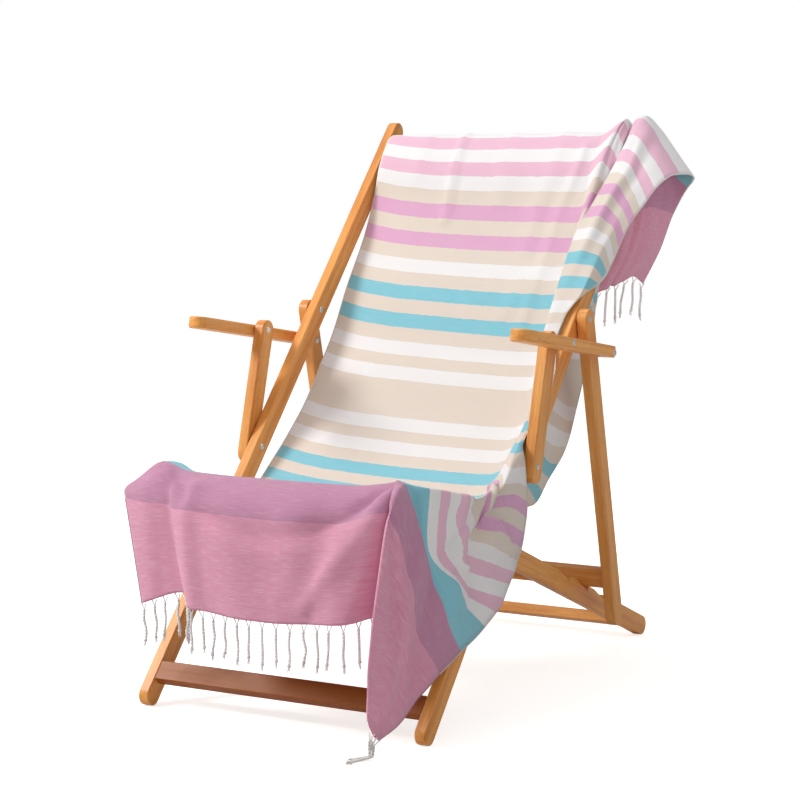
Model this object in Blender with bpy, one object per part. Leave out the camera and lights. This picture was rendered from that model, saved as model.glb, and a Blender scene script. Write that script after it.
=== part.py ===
"""Beach towel draped over a folding deck chair: chair, seat cloth, towel and its two fringes.

Metres, +Z up, the chair's front faces -Y and its centre plane is X = 0.
The towel is one sheet drawn from lengthwise lines. S runs along it from the front hem,
T runs across it from its left edge.
"""
import math

import bmesh
import bpy
import numpy as np

# ---- where the chair's centre plane, front foot and floor lie in the finished frame
SHIFT = (-0.0106, -0.4180, 0.0)

# ---- timber frames: every rail is 38 mm deep and 20 mm thick
DEPTH = 0.038
THICK = 0.020
ROUND = DEPTH / 2
GAP = 0.0003

REAR_FOOT = (0.997, ROUND)
FRONT_FOOT = (0.0, ROUND)
A_ANGLE = math.radians(48.82)
A_LENGTH = 1.3526
A_INNER = 0.2725
B_INNER = 0.2275
B_FRONT = (-0.005, 0.4143)
PROP_INNER = 0.2945
PROP_TOP = (0.577, 0.680)
PROP_FOOT = (0.722, 0.094)
STRUT_TOP = (0.4172, 0.6486)
STRUT_FOOT = (0.3585, 0.4287)
STRUT_PAST = 0.012
CROSSING = (0.2558, 0.3114)
ARM_INNER = 0.3165
ARM_WIDTH = 0.040
ARM_THICK = 0.022
ARM_TIP = (0.228, 0.6848)
ARM_SLOPE = math.radians(-8.4)
ARM_LENGTH = 0.3785
ARM_BOLT = (0.5956, 0.6175)
NOTCH_WALLS = (0.648, 0.728, 0.808, 0.888)
NOTCH_RUN = 0.055
NOTCH_DEPTH = 0.0095
BOARD_HEIGHT = 0.0373
BOLT_RADIUS = 0.003
BOLT_HOLE = 0.0034
HEAD_RADIUS = 0.0062
HEAD_HEIGHT = 0.0016
ARC_STEPS = 8

# ---- towel
WIDTH = 0.92
LENGTH = 1.92
CLOTH = 0.002
SLING_CLOTH = 0.0016
SLING_UNDER = 0.0038
PITCH = 0.0265
CORD = 0.0016
CORD_LENGTH = 0.084
STRIP_GAP = 0.0010
FLOOR_CORD = 0.0045
STRIP = 0.0045

# The cloth's middle line. S along the cloth, y and z where it lies.
PROFILE = (
    # s,      y,      z
    (0.000, -0.088, 0.197),
    (0.100, -0.088, 0.287),
    (0.190, -0.083, 0.370),
    (0.240, -0.050, 0.412),
    (0.280, -0.008, 0.4275),
    (0.305, 0.0155, 0.4200),
    (0.335, 0.030, 0.395),
    (0.395, 0.062, 0.345),
    (0.455, 0.110, 0.309),
    (0.515, 0.170, 0.297),
    (0.575, 0.235, 0.307),
    (0.640, 0.293, 0.337),
    (0.700, 0.338, 0.3735),
    (0.826, 0.439, 0.453),
    (0.903, 0.496, 0.505),
    (0.986, 0.549, 0.569),
    (1.057, 0.595, 0.6235),
    (1.173, 0.658, 0.721),
    (1.304, 0.735, 0.827),
    (1.391, 0.776, 0.904),
    (1.451, 0.7975, 0.960),
    (1.502, 0.825, 1.003),
    (1.532, 0.846, 1.0245),
    (1.550, 0.864, 1.0295),
    (1.567, 0.8865, 1.0145),
    (1.600, 0.895, 0.980),
    (1.700, 0.898, 0.880),
    (1.920, 0.902, 0.662),
)

# Lines that keep to the middle line: T across the cloth, x, and the offsets from PROFILE.
LEFT_EDGE = (
    # s,     t,    x,      dy,     dz
    (0.00, 0.0, -0.274, 0.058, -0.006),
    (0.10, 0.0, -0.290, 0.058, -0.004),
    (0.19, 0.0, -0.307, 0.053, 0.005),
    (0.24, 0.0, -0.316, 0.032, -0.020),
    (0.28, 0.0, -0.302, 0.014, -0.024),
    (0.335, 0.0, -0.284, 0.014, 0.020),
    (0.395, 0.0, -0.272, 0.020, 0.064),
    (0.455, 0.0, -0.266, 0.014, 0.086),
    (0.515, 0.0, -0.264, 0.009, 0.076),
    (0.575, 0.0, -0.262, 0.003, 0.043),
    (0.640, 0.0, -0.262, 0.002, 0.006),
    (0.700, 0.0, -0.260, 0.002, 0.003),
    (0.903, 0.0, -0.258, 0.0, 0.004),
    (1.200, 0.0, -0.262, 0.0, 0.003),
    (1.550, 0.0, -0.268, 0.0, 0.0),
    (1.920, 0.0, -0.266, 0.0, -0.002),
)
LEFT_FOLD = (
    # s,     t,    x,      dy,     dz
    (0.00, 0.100, -0.187, 0.053, 0.022),
    (0.10, 0.095, -0.200, 0.048, 0.012),
    (0.19, 0.090, -0.207, 0.030, 0.006),
    (0.24, 0.075, -0.226, 0.018, 0.014),
    (0.28, 0.060, -0.2375, 0.0, 0.016),
    (0.305, 0.055, -0.2310, 0.003, 0.020),
    (0.335, 0.050, -0.2290, 0.005, 0.036),
    (0.395, 0.045, -0.2280, 0.013, 0.069),
    (0.455, 0.040, -0.2280, 0.012, 0.087),
    (0.515, 0.040, -0.2280, 0.007, 0.076),
    (0.575, 0.040, -0.2280, 0.003, 0.043),
    (0.605, 0.040, -0.2280, 0.003, 0.022),
    (0.640, 0.040, -0.222, 0.001, 0.004),
    (0.700, 0.040, -0.220, 0.001, 0.001),
    (1.550, 0.040, -0.228, 0.0, 0.0),
    (1.920, 0.040, -0.226, 0.0, 0.0),
)
LEFT_PANEL = (
    # s,     t,    x,      dy,     dz
    (0.00, 0.135, -0.145, 0.020, 0.008),
    (0.10, 0.135, -0.160, 0.016, 0.003),
    (0.19, 0.135, -0.172, 0.014, 0.002),
    (0.24, 0.130, -0.178, 0.006, 0.004),
    (0.28, 0.125, -0.178, 0.0, 0.002),
    (0.335, 0.105, -0.180, 0.004, 0.009),
    (0.455, 0.105, -0.175, 0.002, 0.022),
    (0.575, 0.105, -0.170, 0.0, 0.008),
    (0.700, 0.105, -0.160, 0.0, -0.002),
    (1.550, 0.105, -0.165, 0.0, 0.0),
    (1.920, 0.105, -0.163, 0.0, 0.0),
)
MIDDLE = (
    # s,     t,    x,      dy,     dz
    (0.00, 0.330, 0.030, 0.0, 0.0),
    (0.28, 0.320, 0.020, 0.0, 0.0),
    (0.70, 0.285, 0.010, 0.004, -0.011),
    (1.20, 0.285, 0.008, 0.004, -0.010),
    (1.50, 0.285, 0.005, 0.001, -0.002),
    (1.92, 0.285, 0.005, 0.0, 0.003),
)
RIGHT_PANEL = (
    # s,     t,    x,      dy,     dz
    (0.00, 0.455, 0.140, 0.004, 0.006),
    (0.10, 0.455, 0.145, 0.003, 0.004),
    (0.19, 0.455, 0.152, 0.006, 0.004),
    (0.24, 0.450, 0.158, 0.006, 0.004),
    (0.28, 0.450, 0.158, 0.0, 0.002),
    (0.395, 0.440, 0.160, 0.0, 0.006),
    (0.515, 0.440, 0.160, 0.0, 0.006),
    (0.700, 0.440, 0.160, 0.004, -0.014),
    (1.100, 0.440, 0.160, 0.005, -0.016),
    (1.350, 0.440, 0.165, 0.002, -0.008),
    (1.500, 0.440, 0.190, 0.0, 0.0),
    (1.600, 0.440, 0.190, 0.0, 0.002),
    (1.920, 0.440, 0.150, 0.0, 0.028),
)
# The foot of the step where the gathered cloth by the rail begins.
SHOULDER = (
    # s,     t,    x,      dy,     dz
    (0.00, 0.500, 0.178, 0.022, 0.012),
    (0.10, 0.498, 0.186, 0.019, 0.008),
    (0.19, 0.495, 0.193, 0.016, 0.012),
    (0.24, 0.491, 0.197, 0.011, 0.010),
    (0.28, 0.489, 0.196, 0.0, 0.006),
    (0.335, 0.473, 0.185, 0.002, 0.009),
    (0.395, 0.468, 0.185, 0.003, 0.016),
    (0.455, 0.465, 0.185, 0.002, 0.020),
    (0.515, 0.465, 0.185, 0.001, 0.018),
    (0.575, 0.465, 0.186, 0.001, 0.007),
    (0.640, 0.468, 0.190, 0.002, -0.005),
    (0.700, 0.470, 0.196, 0.003, -0.012),
    (0.900, 0.472, 0.200, 0.0045, -0.0145),
    (1.100, 0.468, 0.195, 0.005, -0.015),
    (1.240, 0.472, 0.198, 0.003, -0.011),
    (1.350, 0.480, 0.204, 0.002, -0.007),
    (1.450, 0.482, 0.208, 0.001, -0.002),
    (1.502, 0.478, 0.213, 0.0, 0.001),
    (1.550, 0.475, 0.216, 0.0, 0.003),
    (1.600, 0.480, 0.224, 0.001, 0.008),
    (1.727, 0.482, 0.212, 0.003, 0.018),
    (1.820, 0.476, 0.198, 0.002, 0.027),
    (1.920, 0.470, 0.170, 0.002, 0.040),
)
CREASE = (
    # s,     t,    x,      dy,     dz
    (0.00, 0.540, 0.212, 0.046, 0.020),
    (0.10, 0.538, 0.222, 0.042, 0.014),
    (0.19, 0.535, 0.232, 0.034, 0.026),
    (0.24, 0.532, 0.233, 0.020, 0.019),
    (0.28, 0.528, 0.231, -0.001, 0.0125),
    (0.305, 0.515, 0.215, 0.002, 0.010),
    (0.335, 0.505, 0.208, 0.004, 0.015),
    (0.395, 0.495, 0.207, 0.006, 0.030),
    (0.455, 0.490, 0.207, 0.004, 0.038),
    (0.515, 0.490, 0.207, 0.002, 0.034),
    (0.575, 0.490, 0.209, 0.001, 0.020),
    (0.640, 0.495, 0.218, 0.0, 0.004),
    (0.700, 0.500, 0.230, 0.002, -0.008),
    (0.900, 0.500, 0.232, 0.004, -0.010),
    (1.100, 0.494, 0.213, 0.003, -0.002),
    (1.240, 0.492, 0.211, 0.004, 0.006),
    (1.350, 0.505, 0.220, 0.003, 0.015),
    (1.450, 0.522, 0.236, 0.001, 0.019),
    (1.502, 0.530, 0.250, 0.001, 0.025),
    (1.550, 0.535, 0.259, -0.001, 0.0275),
    (1.567, 0.535, 0.259, -0.001, 0.0300),
    (1.600, 0.535, 0.257, 0.004, 0.028),
    (1.727, 0.520, 0.248, 0.006, 0.030),
    (1.820, 0.510, 0.232, 0.004, 0.038),
    (1.920, 0.500, 0.190, 0.004, 0.053),
)

# Lines of the loop, the rail and the drape on the right: T, and where they lie.
LOOP = (
    # s,     t,     x,      y,      z
    (0.00, 0.700, 0.238, -0.005, 0.140),
    (0.10, 0.620, 0.236, -0.026, 0.250),
    (0.19, 0.575, 0.238, -0.030, 0.385),
    (0.24, 0.552, 0.2405, -0.022, 0.4350),
    (0.28, 0.542, 0.2365, -0.012, 0.4430),
    (0.305, 0.538, 0.2320, 0.014, 0.4370),
    (0.335, 0.535, 0.2285, 0.032, 0.4310),
    (0.395, 0.535, 0.2280, 0.075, 0.4140),
    (0.455, 0.535, 0.2280, 0.123, 0.3950),
    (0.515, 0.535, 0.2280, 0.180, 0.3720),
    (0.575, 0.545, 0.2285, 0.240, 0.3490),
    (0.610, 0.590, 0.2500, 0.325, 0.3450),
    (0.640, 0.620, 0.2530, 0.388, 0.3400),
    (0.700, 0.640, 0.2530, 0.458, 0.3400),
    (0.850, 0.660, 0.2530, 0.542, 0.3880),
    (0.900, 0.660, 0.2530, 0.598, 0.4250),
    (1.000, 0.660, 0.2500, 0.660, 0.5060),
    (1.100, 0.650, 0.2480, 0.720, 0.6130),
    (1.240, 0.650, 0.2480, 0.760, 0.7220),
    (1.350, 0.650, 0.2540, 0.797, 0.8180),
    (1.450, 0.650, 0.2610, 0.812, 0.9350),
    (1.502, 0.650, 0.2640, 0.828, 0.9930),
    (1.532, 0.640, 0.2665, 0.850, 1.0240),
    (1.550, 0.640, 0.2670, 0.870, 1.0330),
    (1.567, 0.640, 0.2670, 0.889, 1.0240),
    (1.600, 0.640, 0.2670, 0.903, 0.9880),
    (1.727, 0.640, 0.2620, 0.930, 0.8800),
    (1.820, 0.640, 0.2450, 0.932, 0.7980),
    (1.920, 0.640, 0.2050, 0.932, 0.7230),
)
# The top of the roll: on the front drape its ridge, then the edge it hangs from, then the rail.
ROLL = (
    # s,     t,     x,      y,      z
    (0.00, 0.860, 0.2490, -0.131, 0.066),
    (0.05, 0.780, 0.2490, -0.130, 0.130),
    (0.10, 0.700, 0.2510, -0.121, 0.205),
    (0.15, 0.635, 0.2560, -0.103, 0.300),
    (0.19, 0.595, 0.2600, -0.080, 0.395),
    (0.24, 0.565, 0.2560, -0.038, 0.4340),
    (0.28, 0.556, 0.2490, -0.010, 0.4370),
    (0.335, 0.570, 0.2700, 0.015, 0.4300),
    (0.395, 0.575, 0.2850, 0.063, 0.4200),
    (0.455, 0.590, 0.2920, 0.118, 0.4070),
    (0.515, 0.610, 0.2960, 0.182, 0.3960),
    (0.575, 0.680, 0.2900, 0.227, 0.4020),
    (0.605, 0.720, 0.2850, 0.256, 0.4080),
    (0.660, 0.775, 0.2790, 0.291, 0.4240),
    (0.700, 0.810, 0.2760, 0.318, 0.4480),
    (0.785, 0.870, 0.2740, 0.379, 0.4940),
    (0.900, 0.870, 0.2740, 0.454, 0.5755),
    (1.000, 0.866, 0.2540, 0.514, 0.6500),
    (1.100, 0.860, 0.2570, 0.5795, 0.7230),
    (1.240, 0.848, 0.2640, 0.662, 0.8260),
    (1.350, 0.820, 0.2720, 0.734, 0.9040),
    (1.450, 0.790, 0.2790, 0.800, 0.9760),
    (1.502, 0.780, 0.2820, 0.834, 1.0190),
    (1.532, 0.780, 0.2860, 0.866, 1.0540),
    (1.550, 0.780, 0.2880, 0.884, 1.0630),
    (1.567, 0.780, 0.2880, 0.903, 1.0605),
    (1.600, 0.780, 0.2850, 0.9185, 1.0300),
    (1.727, 0.770, 0.2780, 0.946, 0.8850),
    (1.820, 0.760, 0.2550, 0.955, 0.7960),
    (1.920, 0.740, 0.2160, 0.957, 0.7330),
)
DRAPE_UPPER = (
    # s,     t,     x,      y,      z
    (0.00, 0.880, 0.2500, -0.122, 0.047),
    (0.05, 0.830, 0.2560, -0.102, 0.105),
    (0.10, 0.780, 0.2620, -0.080, 0.170),
    (0.18, 0.710, 0.2700, -0.050, 0.285),
    (0.24, 0.680, 0.2780, -0.020, 0.322),
    (0.28, 0.670, 0.2830, -0.004, 0.335),
    (0.335, 0.675, 0.2830, -0.003, 0.342),
    (0.395, 0.680, 0.2930, 0.034, 0.324),
    (0.455, 0.695, 0.2990, 0.085, 0.322),
    (0.515, 0.705, 0.2960, 0.150, 0.342),
    (0.575, 0.750, 0.2950, 0.185, 0.363),
    (0.605, 0.775, 0.2980, 0.218, 0.381),
    (0.660, 0.820, 0.2990, 0.260, 0.415),
    (0.700, 0.845, 0.2930, 0.300, 0.448),
    (0.785, 0.885, 0.2810, 0.378, 0.4955),
    (0.900, 0.885, 0.2820, 0.4535, 0.5765),
    (1.000, 0.885, 0.2640, 0.5145, 0.6500),
    (1.100, 0.880, 0.2720, 0.5800, 0.7230),
    (1.240, 0.870, 0.2820, 0.664, 0.8230),
    (1.350, 0.855, 0.2880, 0.733, 0.8975),
    (1.450, 0.830, 0.2980, 0.795, 0.9640),
    (1.502, 0.825, 0.3030, 0.829, 1.0040),
    (1.532, 0.825, 0.3060, 0.861, 1.0400),
    (1.550, 0.825, 0.3080, 0.885, 1.0450),
    (1.567, 0.825, 0.3090, 0.908, 1.0400),
    (1.600, 0.825, 0.3120, 0.932, 1.0060),
    (1.727, 0.820, 0.2880, 0.966, 0.8800),
    (1.820, 0.810, 0.2620, 0.976, 0.7935),
    (1.920, 0.800, 0.2260, 0.977, 0.7420),
)
DRAPE_LOWER = (
    # s,     t,     x,      y,      z
    (0.00, 0.900, 0.2520, -0.114, 0.035),
    (0.05, 0.875, 0.2590, -0.088, 0.066),
    (0.10, 0.850, 0.2670, -0.058, 0.115),
    (0.18, 0.815, 0.2780, -0.020, 0.185),
    (0.24, 0.805, 0.2900, 0.022, 0.208),
    (0.28, 0.800, 0.2970, 0.048, 0.222),
    (0.335, 0.800, 0.3010, 0.082, 0.240),
    (0.395, 0.800, 0.3010, 0.122, 0.243),
    (0.455, 0.800, 0.3010, 0.158, 0.276),
    (0.515, 0.800, 0.3040, 0.200, 0.318),
    (0.575, 0.835, 0.3060, 0.247, 0.356),
    (0.605, 0.850, 0.3060, 0.268, 0.378),
    (0.660, 0.870, 0.3060, 0.298, 0.412),
    (0.700, 0.882, 0.3020, 0.318, 0.450),
    (0.740, 0.895, 0.2880, 0.345, 0.4740),
    (0.785, 0.902, 0.2860, 0.378, 0.4985),
    (0.840, 0.902, 0.2880, 0.415, 0.5310),
    (0.870, 0.902, 0.2945, 0.4330, 0.5560),
    (0.900, 0.902, 0.2960, 0.4540, 0.5755),
    (1.000, 0.902, 0.2700, 0.5155, 0.6500),
    (1.050, 0.902, 0.2710, 0.5470, 0.6870),
    (1.100, 0.900, 0.2910, 0.5800, 0.7240),
    (1.140, 0.900, 0.2965, 0.6040, 0.7510),
    (1.240, 0.895, 0.3010, 0.669, 0.8140),
    (1.350, 0.885, 0.3070, 0.730, 0.8780),
    (1.450, 0.875, 0.3220, 0.785, 0.9320),
    (1.502, 0.872, 0.3340, 0.820, 0.9700),
    (1.532, 0.872, 0.3420, 0.853, 0.9880),
    (1.550, 0.872, 0.3470, 0.886, 0.9940),
    (1.567, 0.872, 0.3480, 0.912, 0.9870),
    (1.600, 0.872, 0.3400, 0.940, 0.9660),
    (1.727, 0.870, 0.2980, 0.986, 0.8750),
    (1.820, 0.865, 0.2660, 0.995, 0.7920),
    (1.920, 0.860, 0.2310, 0.995, 0.7340),
)
RIGHT_EDGE = (
    # s,     t,     x,      y,      z
    (0.00, 0.920, 0.2550, -0.105, 0.028),
    (0.06, 0.920, 0.2660, -0.065, 0.044),
    (0.12, 0.920, 0.2790, -0.017, 0.080),
    (0.18, 0.920, 0.2910, 0.026, 0.110),
    (0.265, 0.920, 0.3010, 0.085, 0.139),
    (0.335, 0.920, 0.3030, 0.155, 0.161),
    (0.395, 0.920, 0.3050, 0.225, 0.196),
    (0.455, 0.920, 0.3060, 0.273, 0.239),
    (0.515, 0.920, 0.3060, 0.306, 0.276),
    (0.575, 0.920, 0.3060, 0.326, 0.325),
    (0.605, 0.920, 0.3060, 0.333, 0.352),
    (0.660, 0.920, 0.3040, 0.335, 0.402),
    (0.695, 0.920, 0.3010, 0.333, 0.445),
    (0.725, 0.920, 0.2920, 0.343, 0.468),
    (0.785, 0.920, 0.2905, 0.379, 0.4975),
    (0.840, 0.920, 0.2925, 0.418, 0.5290),
    (0.870, 0.920, 0.2975, 0.4410, 0.5460),
    (0.900, 0.920, 0.2965, 0.4570, 0.5760),
    (0.925, 0.920, 0.2940, 0.4710, 0.5940),
    (0.950, 0.920, 0.2880, 0.4860, 0.6120),
    (1.000, 0.920, 0.2750, 0.5170, 0.6500),
    (1.050, 0.920, 0.2770, 0.5480, 0.6865),
    (1.075, 0.920, 0.2850, 0.5670, 0.7070),
    (1.105, 0.920, 0.2965, 0.5940, 0.7265),
    (1.140, 0.920, 0.3005, 0.6400, 0.7400),
    (1.185, 0.920, 0.3050, 0.6610, 0.7520),
    (1.260, 0.920, 0.3120, 0.684, 0.783),
    (1.350, 0.920, 0.3250, 0.723, 0.846),
    (1.440, 0.920, 0.3400, 0.769, 0.892),
    (1.500, 0.920, 0.3600, 0.806, 0.933),
    (1.530, 0.920, 0.3720, 0.842, 0.947),
    (1.550, 0.920, 0.3780, 0.884, 0.9480),
    (1.567, 0.920, 0.3790, 0.915, 0.9440),
    (1.600, 0.920, 0.3660, 0.945, 0.9330),
    (1.637, 0.920, 0.3490, 0.965, 0.9220),
    (1.727, 0.920, 0.3050, 1.000, 0.8710),
    (1.820, 0.920, 0.2700, 1.010, 0.7910),
    (1.920, 0.920, 0.2350, 1.010, 0.7250),
)
# Where the loop rises beside the rail's inner face: T, x, and how far it is from ROLL
# square to the rail, toward the loop.
WALL = (
    # s,     t,     x,      away
    (0.00, 0.780, 0.2370, 0.0),
    (0.10, 0.660, 0.2370, 0.0),
    (0.19, 0.585, 0.2440, 0.0),
    (0.24, 0.559, 0.2470, 0.0),
    (0.28, 0.550, 0.2440, 0.0),
    (0.335, 0.555, 0.2500, 0.002),
    (0.395, 0.556, 0.2560, 0.002),
    (0.515, 0.575, 0.2640, 0.003),
    (0.575, 0.620, 0.2640, 0.006),
    (0.640, 0.700, 0.2650, 0.012),
    (0.700, 0.750, 0.2655, 0.014),
    (0.900, 0.820, 0.2655, 0.013),
    (1.000, 0.815, 0.2440, 0.008),
    (1.100, 0.802, 0.2370, 0.006),
    (1.240, 0.780, 0.2350, 0.005),
    (1.350, 0.765, 0.2480, 0.006),
    (1.450, 0.740, 0.2600, 0.008),
    (1.532, 0.720, 0.2700, 0.006),
    (1.600, 0.720, 0.2720, 0.006),
    (1.727, 0.710, 0.2690, 0.0),
    (1.920, 0.700, 0.2100, 0.0),
)
ON_PROFILE = (LEFT_EDGE, LEFT_FOLD, LEFT_PANEL, MIDDLE, RIGHT_PANEL, SHOULDER, CREASE)
IN_PLACE = (LOOP, ROLL, DRAPE_UPPER, DRAPE_LOWER, RIGHT_EDGE)
STEPS_BETWEEN_LINES = (2, 2, 4, 3, 2, 2, 4, 3, 2, 3, 3, 2)
SLING_COLUMNS = slice(3, 14)
RISE = (-0.7524, 0.6587)
# Folds of the cloth, each along a line from (t0, s0) to (t1, s1). A fold stands out where its
# height is positive and sinks in where it is negative, and fades over its width.
FOLDS = (
    # t0,    s0,    t1,    s1,   width, height
    (0.537, 0.215, 0.495, 0.000, 0.028, 0.0110),
    (0.430, 0.190, 0.410, 0.020, 0.036, -0.0120),
    (0.300, 0.180, 0.330, 0.100, 0.045, -0.0080),
    (0.165, 0.230, 0.150, 0.000, 0.018, 0.0090),
    (0.098, 0.225, 0.112, 0.000, 0.014, -0.0070),
    (0.050, 0.220, 0.035, 0.000, 0.022, 0.0060),
    (0.235, 0.150, 0.260, 0.000, 0.040, 0.0060),
    (0.720, 0.520, 0.860, 0.345, 0.020, -0.0090),
    (0.665, 0.480, 0.800, 0.310, 0.020, 0.0110),
    (0.765, 0.545, 0.895, 0.400, 0.022, 0.0100),
    (0.640, 0.500, 0.690, 0.395, 0.014, -0.0060),
    (0.800, 0.600, 0.900, 0.500, 0.018, -0.0080),
    (0.690, 0.240, 0.850, 0.040, 0.020, 0.0090),
    (0.740, 0.270, 0.890, 0.120, 0.022, -0.0100),
    (0.186, 1.545, 0.184, 1.340, 0.009, 0.0050),
    (0.100, 1.550, 0.092, 1.420, 0.012, 0.0022),
    (0.300, 1.550, 0.305, 1.380, 0.014, 0.0026),
    (0.395, 1.550, 0.385, 1.280, 0.014, 0.0036),
    (0.380, 1.130, 0.405, 1.230, 0.009, 0.0036),
    (0.440, 1.500, 0.425, 1.100, 0.012, 0.0036),
    (0.850, 1.520, 0.880, 1.250, 0.014, -0.0030),
    (0.600, 1.920, 0.620, 1.650, 0.025, 0.0100),
    (0.420, 1.920, 0.430, 1.680, 0.030, -0.0100),
    (0.180, 1.920, 0.200, 1.680, 0.035, 0.0090),
)
ROWS = (
    0.0, 0.045, 0.09, 0.135, 0.175, 0.21, 0.235, 0.258, 0.275, 0.292, 0.315, 0.345, 0.375,
    0.405, 0.435, 0.465, 0.495, 0.525, 0.552, 0.578, 0.602, 0.628, 0.655, 0.685, 0.72, 0.76,
    0.80, 0.85, 0.90, 0.95, 1.0, 1.05, 1.078, 1.105, 1.16, 1.22, 1.28, 1.34, 1.39, 1.435,
    1.475, 1.505, 1.528, 1.543, 1.556, 1.57, 1.588, 1.615, 1.65, 1.70, 1.755, 1.81, 1.865, 1.92,
)


def smooth(knots, values, at):
    """Smooth curve through the rows of a table that never overshoots a row."""
    knots = np.asarray(knots, float)
    values = np.asarray(values, float)
    step = np.diff(knots)
    slope = np.diff(values, axis=0) / step[:, None]
    tangent = np.zeros_like(values)
    tangent[0] = slope[0]
    tangent[-1] = slope[-1]
    before, after = slope[:-1], slope[1:]
    same = before * after > 0
    w1 = (2 * step[1:] + step[:-1])[:, None]
    w2 = (step[1:] + 2 * step[:-1])[:, None]
    safe_before = np.where(same, before, 1.0)
    safe_after = np.where(same, after, 1.0)
    tangent[1:-1] = np.where(same, (w1 + w2) / (w1 / safe_before + w2 / safe_after), 0.0)
    i = int(np.clip(np.searchsorted(knots, at) - 1, 0, len(step) - 1))
    if at < knots[0]:
        return values[0] + (at - knots[0]) * slope[0]
    if at > knots[-1]:
        return values[-1] + (at - knots[-1]) * slope[-1]
    u = (at - knots[i]) / step[i]
    h00 = (1 + 2 * u) * (1 - u) ** 2
    h10 = u * (1 - u) ** 2
    h01 = u * u * (3 - 2 * u)
    h11 = u * u * (u - 1)
    return (
        h00 * values[i]
        + h10 * step[i] * tangent[i]
        + h01 * values[i + 1]
        + h11 * step[i] * tangent[i + 1]
    )


def lines_at(s):
    """The towel's lines where it is s along: rows of (t, x, y, z)."""
    middle = np.asarray(PROFILE, float)
    y, z = smooth(middle[:, 0], middle[:, 1:], s)
    found = []
    for table in ON_PROFILE:
        rows = np.asarray(table, float)
        t, x, dy, dz = smooth(rows[:, 0], rows[:, 1:], s)
        found.append((t, x, y + dy, z + dz))
    for table in IN_PLACE:
        rows = np.asarray(table, float)
        found.append(tuple(smooth(rows[:, 0], rows[:, 1:], s)))
    rows = np.asarray(WALL, float)
    t, x, away = smooth(rows[:, 0], rows[:, 1:], s)
    loop, roll = found[len(ON_PROFILE)], found[len(ON_PROFILE) + 1]
    share = (t - loop[0]) / (roll[0] - loop[0])
    if s < 0.6 or s > 1.6:
        y = loop[2] + share * (roll[2] - loop[2])
        z = loop[3] + share * (roll[3] - loop[3])
    else:
        y = roll[2] - away * RISE[0]
        z = roll[3] - away * RISE[1]
    found.insert(len(ON_PROFILE) + 1, (t, x, y, z))
    return np.array(found)


def towel_grid(stations, steps_between_lines):
    """T and the points across the towel at each station, spaced evenly between its lines."""
    found = []
    for s in stations:
        across = lines_at(s)
        number = np.arange(len(across), dtype=float)
        row = []
        for line, steps in enumerate(steps_between_lines):
            for k in range(steps):
                row.append(smooth(number, across, line + k / steps))
        row.append(across[-1])
        found.append(row)
    found = np.array(found)
    return found[:, :, 0], found[:, :, 1:]


def grid_normals(rows):
    """Unit normals of a grid, toward the side of the towel that faces out."""
    normal = np.cross(np.gradient(rows, axis=1), np.gradient(rows, axis=0))
    return normal / np.linalg.norm(normal, axis=2, keepdims=True)


def fold_heights(across, stations):
    """How far the folds move the cloth, square to it."""
    s = np.repeat(np.asarray(stations, float)[:, None], across.shape[1], axis=1)
    total = np.zeros_like(s)
    for t0, s0, t1, s1, width, height in FOLDS:
        run = np.array([t1 - t0, s1 - s0])
        share = ((across - t0) * run[0] + (s - s0) * run[1]) / run.dot(run)
        share = np.clip(share, 0.0, 1.0)
        away = np.hypot(across - t0 - share * run[0], s - s0 - share * run[1])
        total += height * np.exp(-((away / width) ** 2))
    return total


def folded_grid(stations, steps_between_lines):
    """The towel's grid with its folds."""
    across, rows = towel_grid(stations, steps_between_lines)
    heights = fold_heights(across, stations)
    return across, rows + heights[:, :, None] * grid_normals(rows)


parts = bpy.data.collections.new("parts")
cutters = bpy.data.collections.new("cutters")


def start():
    for obj in list(bpy.data.objects):
        bpy.data.objects.remove(obj, do_unlink=True)
    bpy.context.scene.collection.children.link(parts)
    bpy.context.scene.collection.children.link(cutters)
    cutters.hide_render = True


def mesh_object(name, points, faces, where=parts):
    mesh = bpy.data.meshes.new(name)
    moved = [tuple(np.asarray(p, float) + SHIFT) for p in points]
    mesh.from_pydata(moved, [], [tuple(f) for f in faces])
    solid = bmesh.new()
    solid.from_mesh(mesh)
    bmesh.ops.recalc_face_normals(solid, faces=solid.faces)
    solid.to_mesh(mesh)
    solid.free()
    obj = bpy.data.objects.new(name, mesh)
    where.objects.link(obj)
    return obj


def prism(name, outline, x0, x1, where=parts):
    """A (y, z) outline pushed from x0 to x1."""
    n = len(outline)
    points = [(x0, y, z) for y, z in outline] + [(x1, y, z) for y, z in outline]
    faces = [list(range(n))[::-1], list(range(n, 2 * n))]
    for i in range(n):
        j = (i + 1) % n
        faces.append([i, j, n + j, n + i])
    return mesh_object(name, points, faces, where)


def end_arc(centre, toward):
    """Half circle round a rail's end, with a flat at its lowest point."""
    points = []
    for k in range(ARC_STEPS + 1):
        angle = toward - math.pi / 2 + math.pi * k / ARC_STEPS
        points.append((centre[0] + ROUND * math.cos(angle), centre[1] + ROUND * math.sin(angle)))
    return points


def flat_foot(points, floor=0.0005):
    """Trims an outline a half millimetre up, then sets it down again on the floor."""
    trimmed = []
    n = len(points)
    for i in range(n):
        a, b = points[i], points[(i + 1) % n]
        if a[1] >= floor:
            trimmed.append(a)
        if (a[1] - floor) * (b[1] - floor) < 0:
            u = (floor - a[1]) / (b[1] - a[1])
            trimmed.append((a[0] + u * (b[0] - a[0]), floor))
    return [(y, 0.0 if z < floor + 1e-9 else z) for y, z in trimmed]


def rail_outline(a, b):
    """Outline of a rail with round ends at centres a and b."""
    toward = math.atan2(b[1] - a[1], b[0] - a[0])
    return end_arc(b, toward) + end_arc(a, toward + math.pi)


def along(start_at, angle, distance, front=0.0):
    """A point measured along a rail and square to it."""
    y = start_at[0] + distance * math.cos(angle) - front * math.sin(angle)
    z = start_at[1] + distance * math.sin(angle) + front * math.cos(angle)
    return (y, z)


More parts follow.
